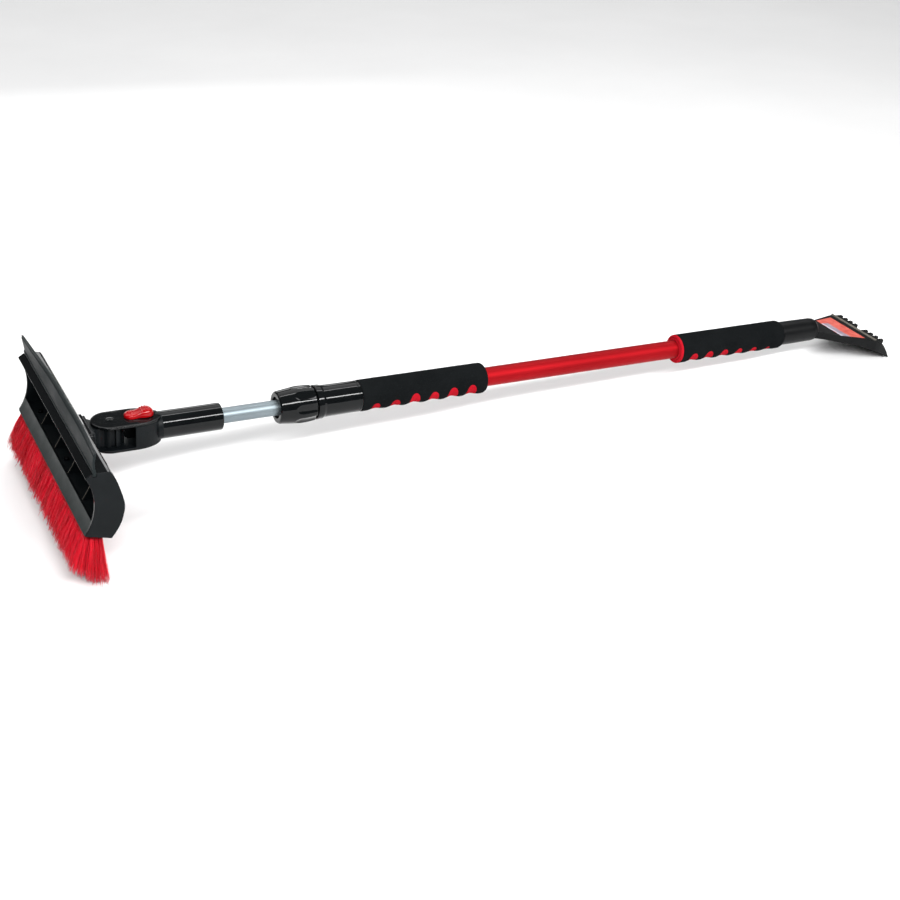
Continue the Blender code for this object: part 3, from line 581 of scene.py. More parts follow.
RED_ANODISED, ALUMINIUM = anodised(), aluminium()
ZINC = steel("zinc_steel", rgb(128, 130, 134), rgb(168, 170, 174), 0.32)
# Painted shade: dark spring steel, so the spring seen through the cover's slot stays in shadow.
SPRING_PAINTED_SHADE = steel("spring_steel", rgb(52, 53, 56), rgb(78, 79, 83), 0.35)
# Painted shade: near-black steel for the pawl in the housing window and the screws in the head, where shade falls.
STEEL_PAINTED_SHADE = steel("steel_painted_shade", rgb(12, 13, 14), rgb(20, 21, 23), 0.5)
# Painted highlight: a light grey for thin lit edges, on the head ribs' front edges and the scraper's ridge.
PAINTED_EDGE_HIGHLIGHT = plastic("painted_edge_highlight", rgb(80, 77, 71), rgb(104, 99, 91), (0.4, 0.5), 1800.0, 0.00002, 0.2)
BLACK_FOAM = foam("black_foam", rgb(11, 13, 14), rgb(17, 19, 20), rgb(27, 30, 31))
RED_FOAM = foam("red_foam", rgb(150, 13, 26), rgb(170, 21, 34), rgb(186, 40, 50))
RUBBER, BRISTLE, LABEL = rubber(), bristle(), label()


def repaint(node, mat, smooth=None):
    """A CAD node that stays gets the finished material."""
    made = NODES[node]
    made.data.materials.clear()
    made.data.materials.append(mat)
    return made


# ------------------------------------------------------------------ tubes
def tube(name, x0, x1, radius, bore, mat, body, node, holes=()):
    section = fillet([(x0, bore, 0.25), (x0, radius, 0.35), (x1, radius, 0.35), (x1, bore, 0.25)], steps=3)
    made = Build().lathe(section, 144).raw(name, [mat])
    return finish_piece(made, body, [node], 40)


tube("outer_tube_look", 264.0, 1040.0, 12.7, 11.5, RED_ANODISED, "handle", "outer_tube")
tube("inner_tube_look", 72.0, 660.0, 9.75, 8.75, ALUMINIUM, "extension", "inner_tube")

# ------------------------------------------------------------------ twist lock
sleeve = Build().lathe(
    fillet(
        [
            (240.0, 10.25, 0.4), (240.0, 17.2, 0.8), (256.4, 17.2, 0.4), (256.4, 21.5, 0.9), (258.5, 21.9, 0.8), (263.6, 21.7, 1.2),
            (266.8, 20.6, 2.0), (273.4, 20.25, 4.0), (282.4, 20.15, 4.0), (312.1, 20.0, 0.5), (312.6, 19.6, 0.3), (313.4, 19.6, 0.3), (313.8, 20.0, 0.4),
            (316.5, 20.0, 1.0), (316.5, 13.0, 0.3), (263.7, 13.0, 0.3), (263.7, 10.25, 0.3),
        ],
        steps=4,
    ),
    160,
)
finish_piece(sleeve.raw("lock_sleeve_look", [GLOSS_BLACK]), "handle", ["lock_sleeve"])
repaint("clamp_collet", NYLON_PAINTED_SHADE)

FLUTES, FLUTE_PHASE, FLUTE_HALF = 8, math.radians(36.0), 0.345


def collar_radius(h, r, a):
    """Eight thumb flutes with rounded front ends run out of the collar's back edge."""
    if h < 222.5 or r < 18.5:
        return r
    u = ((a - FLUTE_PHASE) * FLUTES / (2 * math.pi)) % 1.0
    u = u - 1.0 if u > 0.5 else u
    run = max(0.0, min(1.0, (h - 226.5) / 8.0))
    width = FLUTE_HALF * math.sqrt(max(0.0, 1 - (1 - run) ** 2))
    if width < 0.02 or abs(u) >= width:
        return r
    depth = 1.55 * (1 - (u / width) ** 2) * min(1.0, run * 1.3) ** 0.5
    return r - depth


front_rim = fillet([(212.6, 13.4, 0.0), (206.6, 13.4, 0.7), (206.6, 18.7, 0.9), (208.4, 20.5, 2.2), (222.0, 22.2, 0.0)], steps=4, closed=False)
body_line = spline([(222.0, 22.2), (228.5, 22.95), (234.5, 23.45), (240.0, 23.4), (245.5, 23.1), (251.3, 22.55)], 8)[1:]
back_rim = fillet([(251.3, 22.55, 0.0), (254.6, 22.1, 1.1), (254.7, 17.7, 0.4), (239.2, 17.7, 0.3), (239.2, 13.4, 0.3), (212.6, 13.4, 0.0)], steps=4, closed=False)[1:-1]
collar = Build().lathe(front_rim + body_line + back_rim, 256, radius=collar_radius)
finish_piece(collar.raw("twist_collar_look", [GLOSS_BLACK]), "collar", ["twist_collar"], 30, False)

# ------------------------------------------------------------------ foam grips
GRIP_R = 20.25
rng = np.random.default_rng(486)


WINDOW = 1.0


def groove_map(x, a, first, pitch, depths, reach, width=25.0):
    """How deep the finger grooves cut, for arrays of x and of the angle from the bottom. Each shows
    the red core below WINDOW mm, up to its own reach in degrees."""
    x = x + 2.5 * np.abs(a) / (math.pi / 2)
    near = np.clip(np.round((x - first) / pitch), 0, len(depths) - 1).astype(int)
    off = np.clip(np.abs(x - first - near * pitch) / (width / 2), 0, 1)
    deep = np.array(depths)
    fade = (np.array(reach) - 45.0) / (np.arccos(2 * WINDOW / deep - 1) / np.pi)
    around = np.clip((np.abs(np.degrees(a)) - 45.0) / fade[near], 0, 1)
    return deep[near] * (0.5 + 0.5 * np.cos(np.pi * off)) ** 0.85 * (0.5 + 0.5 * np.cos(np.pi * around))


def grid_body(name, xs, radii, seg, mat, inner):
    """A sleeve from a table of radii, closed over its inner surface."""
    angles = np.linspace(-math.pi, math.pi, seg, endpoint=False)
    rows = len(xs)
    x = np.repeat(xs[:, None], seg, 1)
    outer = np.stack([x, radii * np.sin(angles)[None, :], -radii * np.cos(angles)[None, :]], -1).reshape(-1, 3)
    inner_rings = []
    for h, r in inner:
        inner_rings.append(np.stack([np.full(seg, h), r * np.sin(angles), -r * np.cos(angles)], -1))
    verts = np.concatenate([outer] + inner_rings)
    total = rows + len(inner)
    index = np.arange(total * seg).reshape(total, seg)
    nxt = np.roll(index, -1, 1)
    below = np.roll(index, -1, 0)
    below_nxt = np.roll(nxt, -1, 0)
    faces = np.stack([index, nxt, below_nxt, below], -1).reshape(-1, 4)
    mesh = bpy.data.meshes.new(name)
    mesh.from_pydata((verts * MM).tolist(), [], faces.tolist())
    mesh.materials.append(mat)
    bm = bmesh.new()
    bm.from_mesh(mesh)
    bmesh.ops.recalc_face_normals(bm, faces=bm.faces)
    bm.to_mesh(mesh)
    bm.free()
    made = bpy.data.objects.new(name, mesh)
    bpy.context.scene.collection.objects.link(made)
    made.matrix_world = POLE
    return made


def wander(xs, seg, size, cell):
    """Gentle unevenness, as soft foam has, from a coarse grid of random numbers."""
    angles = np.linspace(0, 2 * math.pi, seg, endpoint=False)
    total = np.zeros((len(xs), seg))
    for _ in range(7):
        kx, ka = rng.uniform(0.5, 1.6) * 2 * math.pi / cell, rng.integers(1, 6)
        total += np.sin(kx * xs[:, None] + ka * angles[None, :] + rng.uniform(0, 6.28))
    fine = rng.normal(0, 1, (len(xs), seg))
    fine = (fine + np.roll(fine, 1, 0) + np.roll(fine, 1, 1)) / 3
    return size * total / 7 + 0.035 * fine


def foam_grip(tag, x0, x1, first, pitch, depths, reach, flange=None):
    seg = 168
    xs = np.concatenate([np.arange(x0, x1 - 6.5, 1.0), x1 - 6.5 + 6.5 * np.sin(np.linspace(0, math.pi / 2, 12))])
    angles = np.linspace(-math.pi, math.pi, seg, endpoint=False)
    depth = groove_map(xs[:, None], angles[None, :], first, pitch, depths, reach)
    rough = wander(xs, seg, 0.12, 42.0)
    tail = np.clip((xs - (x1 - 6.5)) / 6.5, 0, 1)
    crown = 5.2 * (1 - np.sqrt(np.clip(1 - tail**2.4, 0, 1)))
    lead = 0.5 * np.clip(1 - (xs - x0) / 1.4, 0, 1) ** 2
    base = GRIP_R - (crown + lead)[:, None] + rough * (1 - tail)[:, None]
    skin = base - depth
    cut_at = WINDOW
    red = skin + np.clip((depth - cut_at) / 0.14, -1, 1) * 0.16 - np.clip((cut_at - depth) / 0.5, 0, 1) * 0.9
    red = np.where(red > 17.0, red, 17.0)
    keep_black = len(xs)
    black = grid_body(f"foam_grip_{tag}_look", xs, skin, seg, BLACK_FOAM, [(x1, 13.3), (x1 - 4.4, 13.0), (x1 - 4.5, 16.0), (x0, 16.0)])
    finish_piece(black, "handle", [f"foam_grip_{tag}"], 50, False)
    inside = xs < x1 - 9.0
    core_x, core_r = xs[inside], red[inside]
    if flange is None:
        core = grid_body(f"foam_core_{tag}_look", core_x, core_r, seg, RED_FOAM, [(core_x[-1], 13.0), (x0, 13.0)])
    else:
        steps = [(flange, 13.05), (flange, 14.6), (flange + 0.25, 15.1), (flange + 1.2, 15.3), (flange + 1.3, 16.2), (flange + 0.5, 16.7), (flange + 0.4, 17.8), (flange + 0.8, 19.0), (flange + 1.7, 19.8), (flange + 2.8, 20.05), (x0 - 0.9, 20.05), (x0 - 0.65, 19.7), (x0 - 0.6, 18.0)]
        face_x = np.array([s[0] for s in steps])
        face_r = np.array([s[1] for s in steps])[:, None] + np.zeros((1, seg))
        core = grid_body(f"foam_core_{tag}_look", np.concatenate([face_x, core_x]), np.concatenate([face_r, core_r]), seg, RED_FOAM, [(core_x[-1], 13.0)])
    finish_piece(core, "handle", [f"foam_core_{tag}"], 50, False)


foam_grip("front", 316.9, 496.7, 338.1, 27.3, [1.7, 2.1, 2.4, 2.3, 2.6, 2.5], [76, 78, 95, 89, 95, 95])
foam_grip("rear", 808.3, 988.9, 831.0, 26.6, [2.3, 2.3, 2.1, 1.7, 1.6, 1.15], [85, 85, 83, 77, 71, 61], 803.8)

# ------------------------------------------------------------------ ice scraper
TOP_LINE = [(1046.0, 2.0), (1062.0, 0.4), (1086.7, -2.7), (1125.7, -7.1), (1136.0, -8.3, 0.8), (1136.8, -7.0, 0.5), (1139.2, -7.0, 0.7), (1140.5, -9.4, 0.6), (1148.6, -12.9, 5.0), (1155.1, -19.2, 5.0), (1162.5, -28.6, 6.0), (*EDGE, 0.25)]
UNDER_LINE = [(1144.6, -27.8, 0.8), (1114.4, -18.2, 8.0), (1086.0, -12.7, 8.0), (1062.0, -9.6), (1046.0, -9.0)]
HOLLOW = [(1066.0, -3.4), (1086.0, -6.0), (1125.0, -10.6), (1138.0, -12.2), (1145.0, -16.4), (1149.0, -22.0), (1147.5, -29.8), (1140.0, -60.0), (1066.0, -60.0)]
PLAN = [(1046.0, 12.0), (1062.0, 19.5, 14.0), (1074.0, 26.2, 14.0), (1086.7, 31.6, 14.0), (1139.0, 51.2, 6.0), (1146.0, 52.0, 6.0), (1180.0, 52.0)]
TOOTH_Y = (11.8, 22.9, 34.2, 45.6)


def both_sides(half):
    return [(p[0], -p[1], *p[2:]) for p in half] + [(p[0], p[1], *p[2:]) for p in reversed(half)]


blade = Build().plate(fillet(TOP_LINE + UNDER_LINE, steps=4), -56.0, 56.0, "Y", 0).raw("ice_scraper_look")
carve(blade, Build().plate(fillet(both_sides(PLAN), steps=4), -60.0, 20.0, "Z", 0), "INTERSECT")
hollow = Build().plate(HOLLOW, -60.0, 60.0, "Y", 0).raw("hollow")
carve(hollow, Build().plate(both_sides([(1060.0, 12.0), (1072.0, 21.0), (1086.7, 28.2), (1139.0, 48.0), (1180.0, 48.6)]), -70.0, 20.0, "Z", 0), "INTERSECT")
carve(blade, hollow)
SLOPE = math.atan2(-7.1 + 2.7, 1125.7 - 1086.7)
LABEL_MID = (1106.2, -4.9)


def on_blade(p):
    """A point (along, across, up) of the blade's sloping top."""
    c, s = math.cos(SLOPE), math.sin(SLOPE)
    return (LABEL_MID[0] + p[0] * c - p[2] * s, p[1], LABEL_MID[1] + p[0] * s + p[2] * c)


recess = Build().plate(fillet(both_sides([(-19.8, 28.8, 1.6), (19.8, 40.4, 1.6)]), steps=4), -0.9, 6.0, "Z", 0, shape=on_blade)
carve(blade, recess)
soften(blade, 0.45, 2, 40)
made = Build()
made.lathe(
    fillet(
        [(1041.0, 0.0), (1041.0, 13.0, 0.3), (989.3, 13.0, 0.3), (989.3, 17.05, 0.9), (1006.0, 17.05), (1046.8, 16.6, 6.0), (1052.3, 15.9, 4.0), (1056.1, 12.8, 3.0), (1057.0, 8.0, 3.0), (1057.2, 0.0)],
        steps=5, closed=False,
    ),
    144,
)
for y in [-t for t in TOOTH_Y] + list(TOOTH_Y):
    fin = fillet([(1138.6, -10.6, 0.4), (1139.6, -8.8, 0.5), (1154.7, -9.6, 0.7), (1155.2, -13.0, 0.8), (1152.6, -18.2, 0.5), (1149.6, -19.0, 0.3), (1145.0, -15.0, 0.3)], steps=3)
    made.plate(fin, y - 2.5, y + 2.5, "Y", 0.6, 3)
extra = made.raw("extra")
bm = bmesh.new()
bm.from_mesh(blade.data)
bm.from_mesh(extra.data)
bm.to_mesh(blade.data)
bm.free()
bpy.data.objects.remove(extra, do_unlink=True)
blade.data.materials.append(SCRAPER_BLACK)
blade.data.materials.append(PAINTED_EDGE_HIGHLIGHT)
# Painted highlight: the top faces along the scraper's ridge take the light edge material, for the thin lit line on it.
for face in blade.data.polygons:
    c = face.center / MM
    face.material_index = 1 if 1136.0 < c.x < 1139.9 and c.z > -8.2 and face.normal.z > 0.4 and abs(c.y) < 53 else 0
finish_piece(blade, "handle", ["scraper"], 40)

plate = Build().plate(fillet(both_sides([(-19.4, 28.4, 1.5), (19.4, 39.9, 1.5)]), steps=5), -0.55, -0.12, "Z", 0.1, 2, shape=on_blade)
finish_piece(plate.raw("scraper_label_look", [LABEL]), "handle", ["scraper_label"])
repaint("scraper_screw", ZINC)

# ------------------------------------------------------------------ pivot housing
PLATE_R, HOUSING_HALF, HOUSING_TIP = 22.5, 22.0, 61.0


def housing_outline(inset=0.0, fine=40):
    half = []
    for i in range(fine + 1):
        a = math.pi - math.pi / 2 * i / fine
        half.append(((PLATE_R - inset) * math.cos(a), (HOUSING_HALF - inset) * math.sin(a)))
    for i in range(fine + 1):
        a = math.pi / 2 * i / fine
        half.append((27.0 + (HOUSING_TIP - inset - 27.0) * math.sin(a), (HOUSING_HALF - inset) * math.cos(a)))
    return half + [(x, -y) for x, y in reversed(half[1:-1])]


housing = Build()
housing.plate(housing_outline(), -17.0, -13.4, "Z", 0.9, 4)
tail = [p for p in housing_outline(0.05) if p[0] >= 25.0]
upper = sorted([p for p in tail if p[1] >= 0], key=lambda p: (p[0], -p[1]))
lower = [(x, -y) for x, y in reversed(upper)]
inner = [(25.0, -18.6), (40.0, -15.4), (51.0, -8.6), (57.4, -4.6), (57.4, 4.6), (51.0, 8.6), (40.0, 15.4), (25.0, 18.6)]
wall = [(25.0, 21.95)] + [p for p in upper if p[0] > 25.2] + [p for p in lower if p[0] > 25.2][1:] + [(25.0, -21.95)] + inner
housing.plate(wall, -13.8, 13.2, "Z", 0.35, 2)
socket = fillet(
    [
        (51.8, 9.5, 0.3), (51.8, 14.4, 1.2), (54.6, 16.2, 2.5), (60.0, 16.75, 3.0), (66.0, 16.8), (130.5, 16.75), (134.8, 16.6, 1.3), (134.8, 12.2, 0.5), (131.0, 10.4, 0.3), (71.7, 10.05, 0.3), (71.7, 4.0, 0.3), (58.6, 4.0, 0.3), (58.6, 9.5, 0.3),
    ],
    steps=5,
)
housing.lathe(socket, 144)
housing = housing.raw("joint_housing_look", [SATIN_BLACK, GLOSS_BLACK])
for face in housing.data.polygons:
    if face.center.x > 0.0612 and face.center.xy.length > 0:
        face.material_index = 1
finish_piece(housing, "extension", ["joint_housing"], 38)

cover = Build()
outline = housing_outline()
if area2(outline) < 0:
    outline.reverse()
stations = [(1.2, 13.65), (0.35, 13.75), (0.0, 14.2), (0.0, 15.5), (0.1, 15.95), (0.35, 16.4), (0.8, 16.72), (1.4, 16.88), (2.4, 16.94), (5.0, 16.98), (12.0, 17.0)]
rings = [cover.ring([(x, y, z - 0.9 * smoothstep(x, 20.0, 61.0)) if z > 13.9 else (x, y, z) for x, y in offset(outline, inset)]) for inset, z in stations]
for one, two in zip(rings, rings[1:]):
    cover.bridge(one, two)
cover.face(reversed(rings[0]))
cover.face(rings[-1])
cover = cover.raw("joint_cover_look", [GLOSS_BLACK])
opening = Build().plate(fillet([(18.4, -5.0, 2.5), (50.6, -5.0, 2.5), (50.6, 5.0, 2.5), (18.4, 5.0, 2.5)], steps=6), 5.0, 30.0, "Z", 0)
opening.rod((0, 0, 5.0), (0, 0, 30.0), 4.3, 48)
carve(cover, opening)
finish_piece(cover, "extension", ["joint_cover"], 32)

bolt = Build().lathe(
    fillet([(-18.2, 0.0), (-18.2, 4.0, 0.5), (16.7, 4.0, 0.2), (16.7, 4.9, 0.3), (17.4, 4.8, 0.5), (18.35, 3.1, 1.4), (18.8, 1.6, 1.4), (18.95, 0.0)], steps=4, closed=False),
    72, along="Z",
)
finish_piece(bolt.raw("pivot_bolt_look", [GLOSS_BLACK]), "extension", ["pivot_bolt"], 30, False)
# The guide bush and pawl take the dark materials that paint the window's shade onto them.
for node, mat in (("pivot_nut", ZINC), ("socket_screw", ZINC), ("guide_bush", NYLON_PAINTED_SHADE), ("lock_pawl", STEEL_PAINTED_SHADE)):
    repaint(node, mat)

spring = Build()
SPRING_X, COILS = (42.6, 56.4), 5
loops = []
for i in range(COILS * 28 + 1):
    a = 2 * math.pi * i / 28
    x = SPRING_X[0] + 0.55 + (SPRING_X[1] - SPRING_X[0] - 1.1) * i / (COILS * 28)
    out = Vector((0.0, math.cos(a), math.sin(a)))
    loops.append(spring.ring([tuple(Vector((x, 0.0, 0.0)) + out * (3.0 + 0.45 * math.cos(b)) + Vector((0.45 * math.sin(b), 0.0, 0.0))) for b in (2 * math.pi * k / 10 for k in range(10))]))
for one, two in zip(loops, loops[1:]):
    spring.bridge(one, two)
spring.face(reversed(loops[0]))
spring.face(loops[-1])
spring = finish_piece(spring.raw("pawl_spring_look", [SPRING_PAINTED_SHADE]), "extension", ["pawl_spring"], 60, False)
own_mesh(spring)

# ------------------------------------------------------------------ lock button
BUTTON_X = (17.0, 52.0)


def button_half(x):
    u = (x - BUTTON_X[0]) / (BUTTON_X[1] - BUTTON_X[0])
    end = math.sqrt(max(0.0, 1 - max(0.0, abs(2 * u - 1) - 0.5) ** 2 / 0.5**2))
    waist = 1 - 0.13 * math.exp(-(((u - 0.45) / 0.13) ** 2))
    lift = 5.3 + 4.0 / (1 + math.exp(-(u - 0.50) / 0.06))
    return 8.9 * waist * max(0.16, end), 1.2 + (lift - 1.2) * max(0.05, end) ** 0.8


button = Build()
rows, across = [], 28
for i in range(61):
    t = 0.5 - 0.5 * math.cos(math.pi * i / 60)
    x = BUTTON_X[0] + (BUTTON_X[1] - BUTTON_X[0]) * t
    half, lift = button_half(x)
    row = []
    for k in range(across + 1):
        b = math.pi * k / across
        cy, cz = -math.cos(b), math.sin(b)
        row.append((x, half * math.copysign(abs(cy) ** 0.72, cy), 17.3 + lift * abs(cz) ** 0.62))
    rows.append(button.ring(row))
for one, two in zip(rows, rows[1:]):
    button.bridge(one, two)
button.face(rows[0])
button.face(reversed(rows[-1]))


def button_top(x, y):
    half, lift = button_half(x)
    s = min(0.98, abs(y) / half) ** (1 / 0.72)
    return 17.3 + lift * math.sqrt(1 - s * s) ** 0.62


for x, ys in ((37.0, (-3.6, 0.0, 3.6)), (39.8, (-4.6, -1.7, 1.7, 4.6)), (42.6, (-3.9, 0.0, 3.9)), (45.4, (-2.4, 2.4)), (22.6, (-2.0, 2.0)), (25.0, (-3.6, 0.0, 3.6)), (27.6, (-2.0, 2.0))):
    for y in ys:
        z = button_top(x, y)
        button.lathe([(z - 0.5, 0.0), (z - 0.5, 1.15), (z + 0.12, 1.1), (z + 0.5, 0.8), (z + 0.7, 0.4), (z + 0.75, 0.0)], 14, centre=(x, y), along="Z")
button = button.raw("lock_button_look", [RED_PLASTIC])
finish_piece(button, "lock", ["lock_button"], 50, False)

# ------------------------------------------------------------------ knuckle
KNUCKLE_R = 16.0


def knuckle_outline():
    points = []

    def at(r, degrees):
        return (r * math.cos(math.radians(degrees)), r * math.sin(math.radians(degrees)))

    half_notch = math.degrees(math.asin(3.1 / KNUCKLE_R))
    previous = -118.0
    for turn in (-90, -45, 0, 45, 90):
        start = turn - half_notch
        for k in range(5):
            points.append(at(KNUCKLE_R, previous + (start - previous) * k / 5))
        points.append((*at(KNUCKLE_R, start), 0.7))
        c, s = math.cos(math.radians(turn)), math.sin(math.radians(turn))
        points.append((11.5 * c + 3.1 * s, 11.5 * s - 3.1 * c, 0.6))
        points.append((11.5 * c - 3.1 * s, 11.5 * s + 3.1 * c, 0.6))
        points.append((*at(KNUCKLE_R, turn + half_notch), 0.7))
        previous = turn + half_notch + 1.5
    for k in range(6):
        points.append(at(KNUCKLE_R, previous + (118.0 - previous) * k / 5))
    neck = [(-9.8, 12.0, 3.0), (-15.0, 10.6, 3.0), (-19.0, 13.0, 4.0), (-24.3, 19.0, 1.0)]
    points += neck + [(x, -y, r) for x, y, r in reversed(neck)]
    return fillet(points, steps=3)


knuckle = Build().plate(knuckle_outline(), -13.0, 13.0, "Z", 0.6, 3)
knuckle.plate(fillet([(-27.0, -20.0, 4.0), (27.0, -20.0, 4.0), (27.0, 14.0, 4.0), (-27.0, 14.0, 4.0)], steps=6), -26.2, -23.2, "X", 0.7, 3)
knuckle = knuckle.raw("pivot_knuckle_look", [SATIN_BLACK])
finish_piece(knuckle, "head", ["pivot_knuckle"], 38)
# The screws take the dark steel that paints the shade of the head onto them.
for k in (1, 2, 3, 4):
    repaint(f"knuckle_screw_{k}", STEEL_PAINTED_SHADE)
for k in (1, 2, 3):
    repaint(f"strip_screw_{k}", STEEL_PAINTED_SHADE)

# ------------------------------------------------------------------ brush head
HEAD_HALF, WALL_Y = 157.9, 154.9
LOWER_LIP, UPPER_LIP, HOLLOW_X = (-72.5, -36.0), (-69.0, 35.0), -60.4
FRONT = arc3(LOWER_LIP, (HOLLOW_X, 0.0), UPPER_LIP, 60)
BACK = spline([(-39.3, 36.0), (-34.9, 26.0), (-31.5, 15.4), (-28.6, 5.0), (-27.1, -4.6), (-28.4, -15.0), (-31.3, -25.0), (-36.4, -35.0), (-42.8, -43.7)], 6)
CROWN = [(-50.5, 40.0, 6.0), (-44.6, 39.5, 5.0), (-41.2, 38.1, 2.4)]
TOP = [(*UPPER_LIP, 0.9), (-61.7, 39.9, 0.4), (-61.2, 39.9, 0.2), (-61.2, 35.8, 0.3), (-56.8, 35.8, 0.3), (-56.8, 40.0, 0.4)] + CROWN
OUTER = [(*LOWER_LIP, 1.2)] + FRONT[4:-4] + [(*UPPER_LIP, 1.2), (-62.4, 39.6, 1.6), (-58.0, 40.0)] + CROWN + BACK[2:-3] + [(*BACK[-1], 1.4)]

BAY_BACK = spline([(-36.2, -27.5), (-34.5, -23.5), (-31.8, -14.0), (-30.6, -4.8), (-32.0, 4.6), (-34.9, 14.5), (-38.2, 25.0), (-42.6, 33.2)], 4)
low_front = [p for p in FRONT if p[1] < -19.2]
high_front = [p for p in FRONT if p[1] > 32.6]
low_top = min((p for p in FRONT if p[1] >= -19.2), key=lambda p: p[1])
channel = [(*LOWER_LIP, 0.9)] + low_front[1:] + [(low_top[0] - 0.1, -19.0, 0.5), (-62.2, -19.0, 0.5), (-65.2, -27.5, 2.0)]
channel += [(-36.2, -27.5, 2.0)] + BAY_BACK[1:-1] + [(-42.6, 33.2, 2.0), (-62.0, 33.2, 0.6), (-66.6, 32.4, 0.4)]
channel += high_front[:-1] + TOP + BACK[1:-1] + [(*BACK[-1], 1.2), (-45.9, -42.95, 0.5), (-38.9, -30.4, 1.0), (-66.0, -30.3, 1.0), (-68.6, -37.0, 0.3)]

shell = Build()
shell.plate(fillet(channel, steps=4), -WALL_Y, WALL_Y, "Y", 0, slices=24)
ends = Build()
for side in (-1, 1):
    low, high = sorted((side * WALL_Y, side * HEAD_HALF))
    ends.plate(fillet(OUTER, steps=4), low, high, "Y", 0.6 if side > 0 else 0.0, 4, low_edge=0.0 if side > 0 else 0.6)
ends = carve(ends.raw("ends"), Build().plate([(-61.2, 35.8), (-56.8, 35.8), (-56.8, 60.0), (-61.2, 60.0)], -170.0, 170.0, "Y", 0))
bm = bmesh.new()
bm.from_mesh(ends.data)
for side in (-1, 1):
    caps = [f for f in bm.faces if f.normal.y * side > 0.999 and f.calc_center_median().y * side / MM > HEAD_HALF - 0.05]
    bmesh.ops.dissolve_faces(bm, faces=caps, use_verts=False)
bm.to_mesh(ends.data)
bm.free()
RIB_LINE = [(-58.5, -27.5, 1.0), (-52.5, -17.0, 6.0), (-47.5, -8.0, 6.0), (-44.5, 6.0, 8.0), (-45.0, 20.0, 8.0), (-50.0, 33.2, 1.0)]
rib = fillet([(-36.4, -28.4)] + [(-58.9, -28.4)] + RIB_LINE + [(-50.0, 34.0), (-42.8, 34.0)] + [(x - 0.0, z) for x, z in reversed([(p[0] + 0.7, p[1]) for p in BAY_BACK])], steps=4)
for y in (-94.8, -31.6, 31.6, 94.8):
    shell.plate(rib, y - 0.9, y + 0.9, "Y", 0.4, 2)
shell.plate(fillet([(-29.0, -21.5, 4.0), (29.0, -21.5, 4.0), (29.0, 15.5, 4.0), (-29.0, 15.5, 4.0)], steps=6), -33.6, -26.5, "X", 0.8, 3)
shell = shell.raw("head_shell_look", [GLOSS_BLACK, BAND_GREY, SATIN_BLACK, PAINTED_EDGE_HIGHLIGHT])
bm = bmesh.new()
bm.from_mesh(shell.data)
bm.from_mesh(ends.data)
bm.to_mesh(shell.data)
bm.free()
bpy.data.objects.remove(ends, do_unlink=True)
for face in shell.data.polygons:
    c, n = face.center / MM, face.normal
    if abs(c.y) >= WALL_Y - 0.01 and abs(n.y) > 0.7:
        face.material_index = 2
    elif abs(c.y) < WALL_Y and c.x < -61.5 and c.z < -19.2 and n.x < -0.5:
        face.material_index = 1
    elif abs(c.y) < WALL_Y and -60.0 < c.x and -28.0 < c.z < 34.0 and n.x < 0.6 and c.x < -33 and not (n.x > 0.3):
        face.material_index = 2
    # Painted highlight: the faces along the ribs' front edges take the light edge material, for the thin lit lines on
    # them.
    if min(abs(abs(c.y) - 94.8), abs(abs(c.y) - 31.6)) < 0.86 and -59.5 < c.x < -44.0 and -26.5 < c.z < 32.5 and abs(n.y) < 0.75:
        face.material_index = 3
finish_piece(shell, "head", ["head_shell"], 38)
for face in shell.data.polygons:
    if abs(face.normal.y) > 0.999 and abs(face.center.y) / MM > HEAD_HALF - 0.05:
        face.use_smooth = False
repaint("bristle_strip", SATIN_BLACK)

# ------------------------------------------------------------------ squeegee
BLADE_TOP, BLADE_HALF = 64.0, 157.4
profile = fillet(
    [(-60.9, 36.1, 0.3), (-57.1, 36.1, 0.3), (-57.1, 41.0, 0.8), (-58.3, 46.0, 3.0), (-58.5, 52.0, 6.0), (-57.6, BLADE_TOP, 0.25), (-59.9, BLADE_TOP, 0.25), (-60.2, 62.0, 0.5), (-61.0, 60.8, 0.6), (-61.3, 52.0, 4.0), (-60.9, 44.6, 0.6), (-61.7, 43.8, 0.5), (-61.7, 41.2, 0.5), (-60.9, 40.6, 0.3)],
    steps=3,
)


def bow(p):
    rise = max(0.0, (p[2] - 41.0) / (BLADE_TOP - 41.0))
    wave = 0.35 * math.sin(p[1] / 21.0) * rise
    v = p[1] / BLADE_HALF
    return (p[0] + (3.8 - 2.8 * v - 4.9 * v * v) * rise**2 + wave, p[1], p[2] + 0.12 * math.sin(p[1] / 13.0 + 1.0) * rise)


wiper = Build().plate(profile, -BLADE_HALF, BLADE_HALF, "Y", 0.3, 2, slices=90, shape=bow)
finish_piece(wiper.raw("squeegee_blade_look", [RUBBER]), "head", ["squeegee_blade"], 35)

# ------------------------------------------------------------------ bristles
ROWS = {
    "bristles_front": [(-68.3, (-84.6, -79.6)), (-65.1, (-77.0, -86.6)), (-61.9, (-68.6, -92.6))],
    "bristles_rear": [(-58.6, (-61.6, -98.6)), (-55.8, (-56.0, -100.6)), (-52.9, (-50.4, -98.6))],
}


def strip_foot(x):
    t = (x + 72.5) / 29.7
    return -36.0 - 7.7 * t


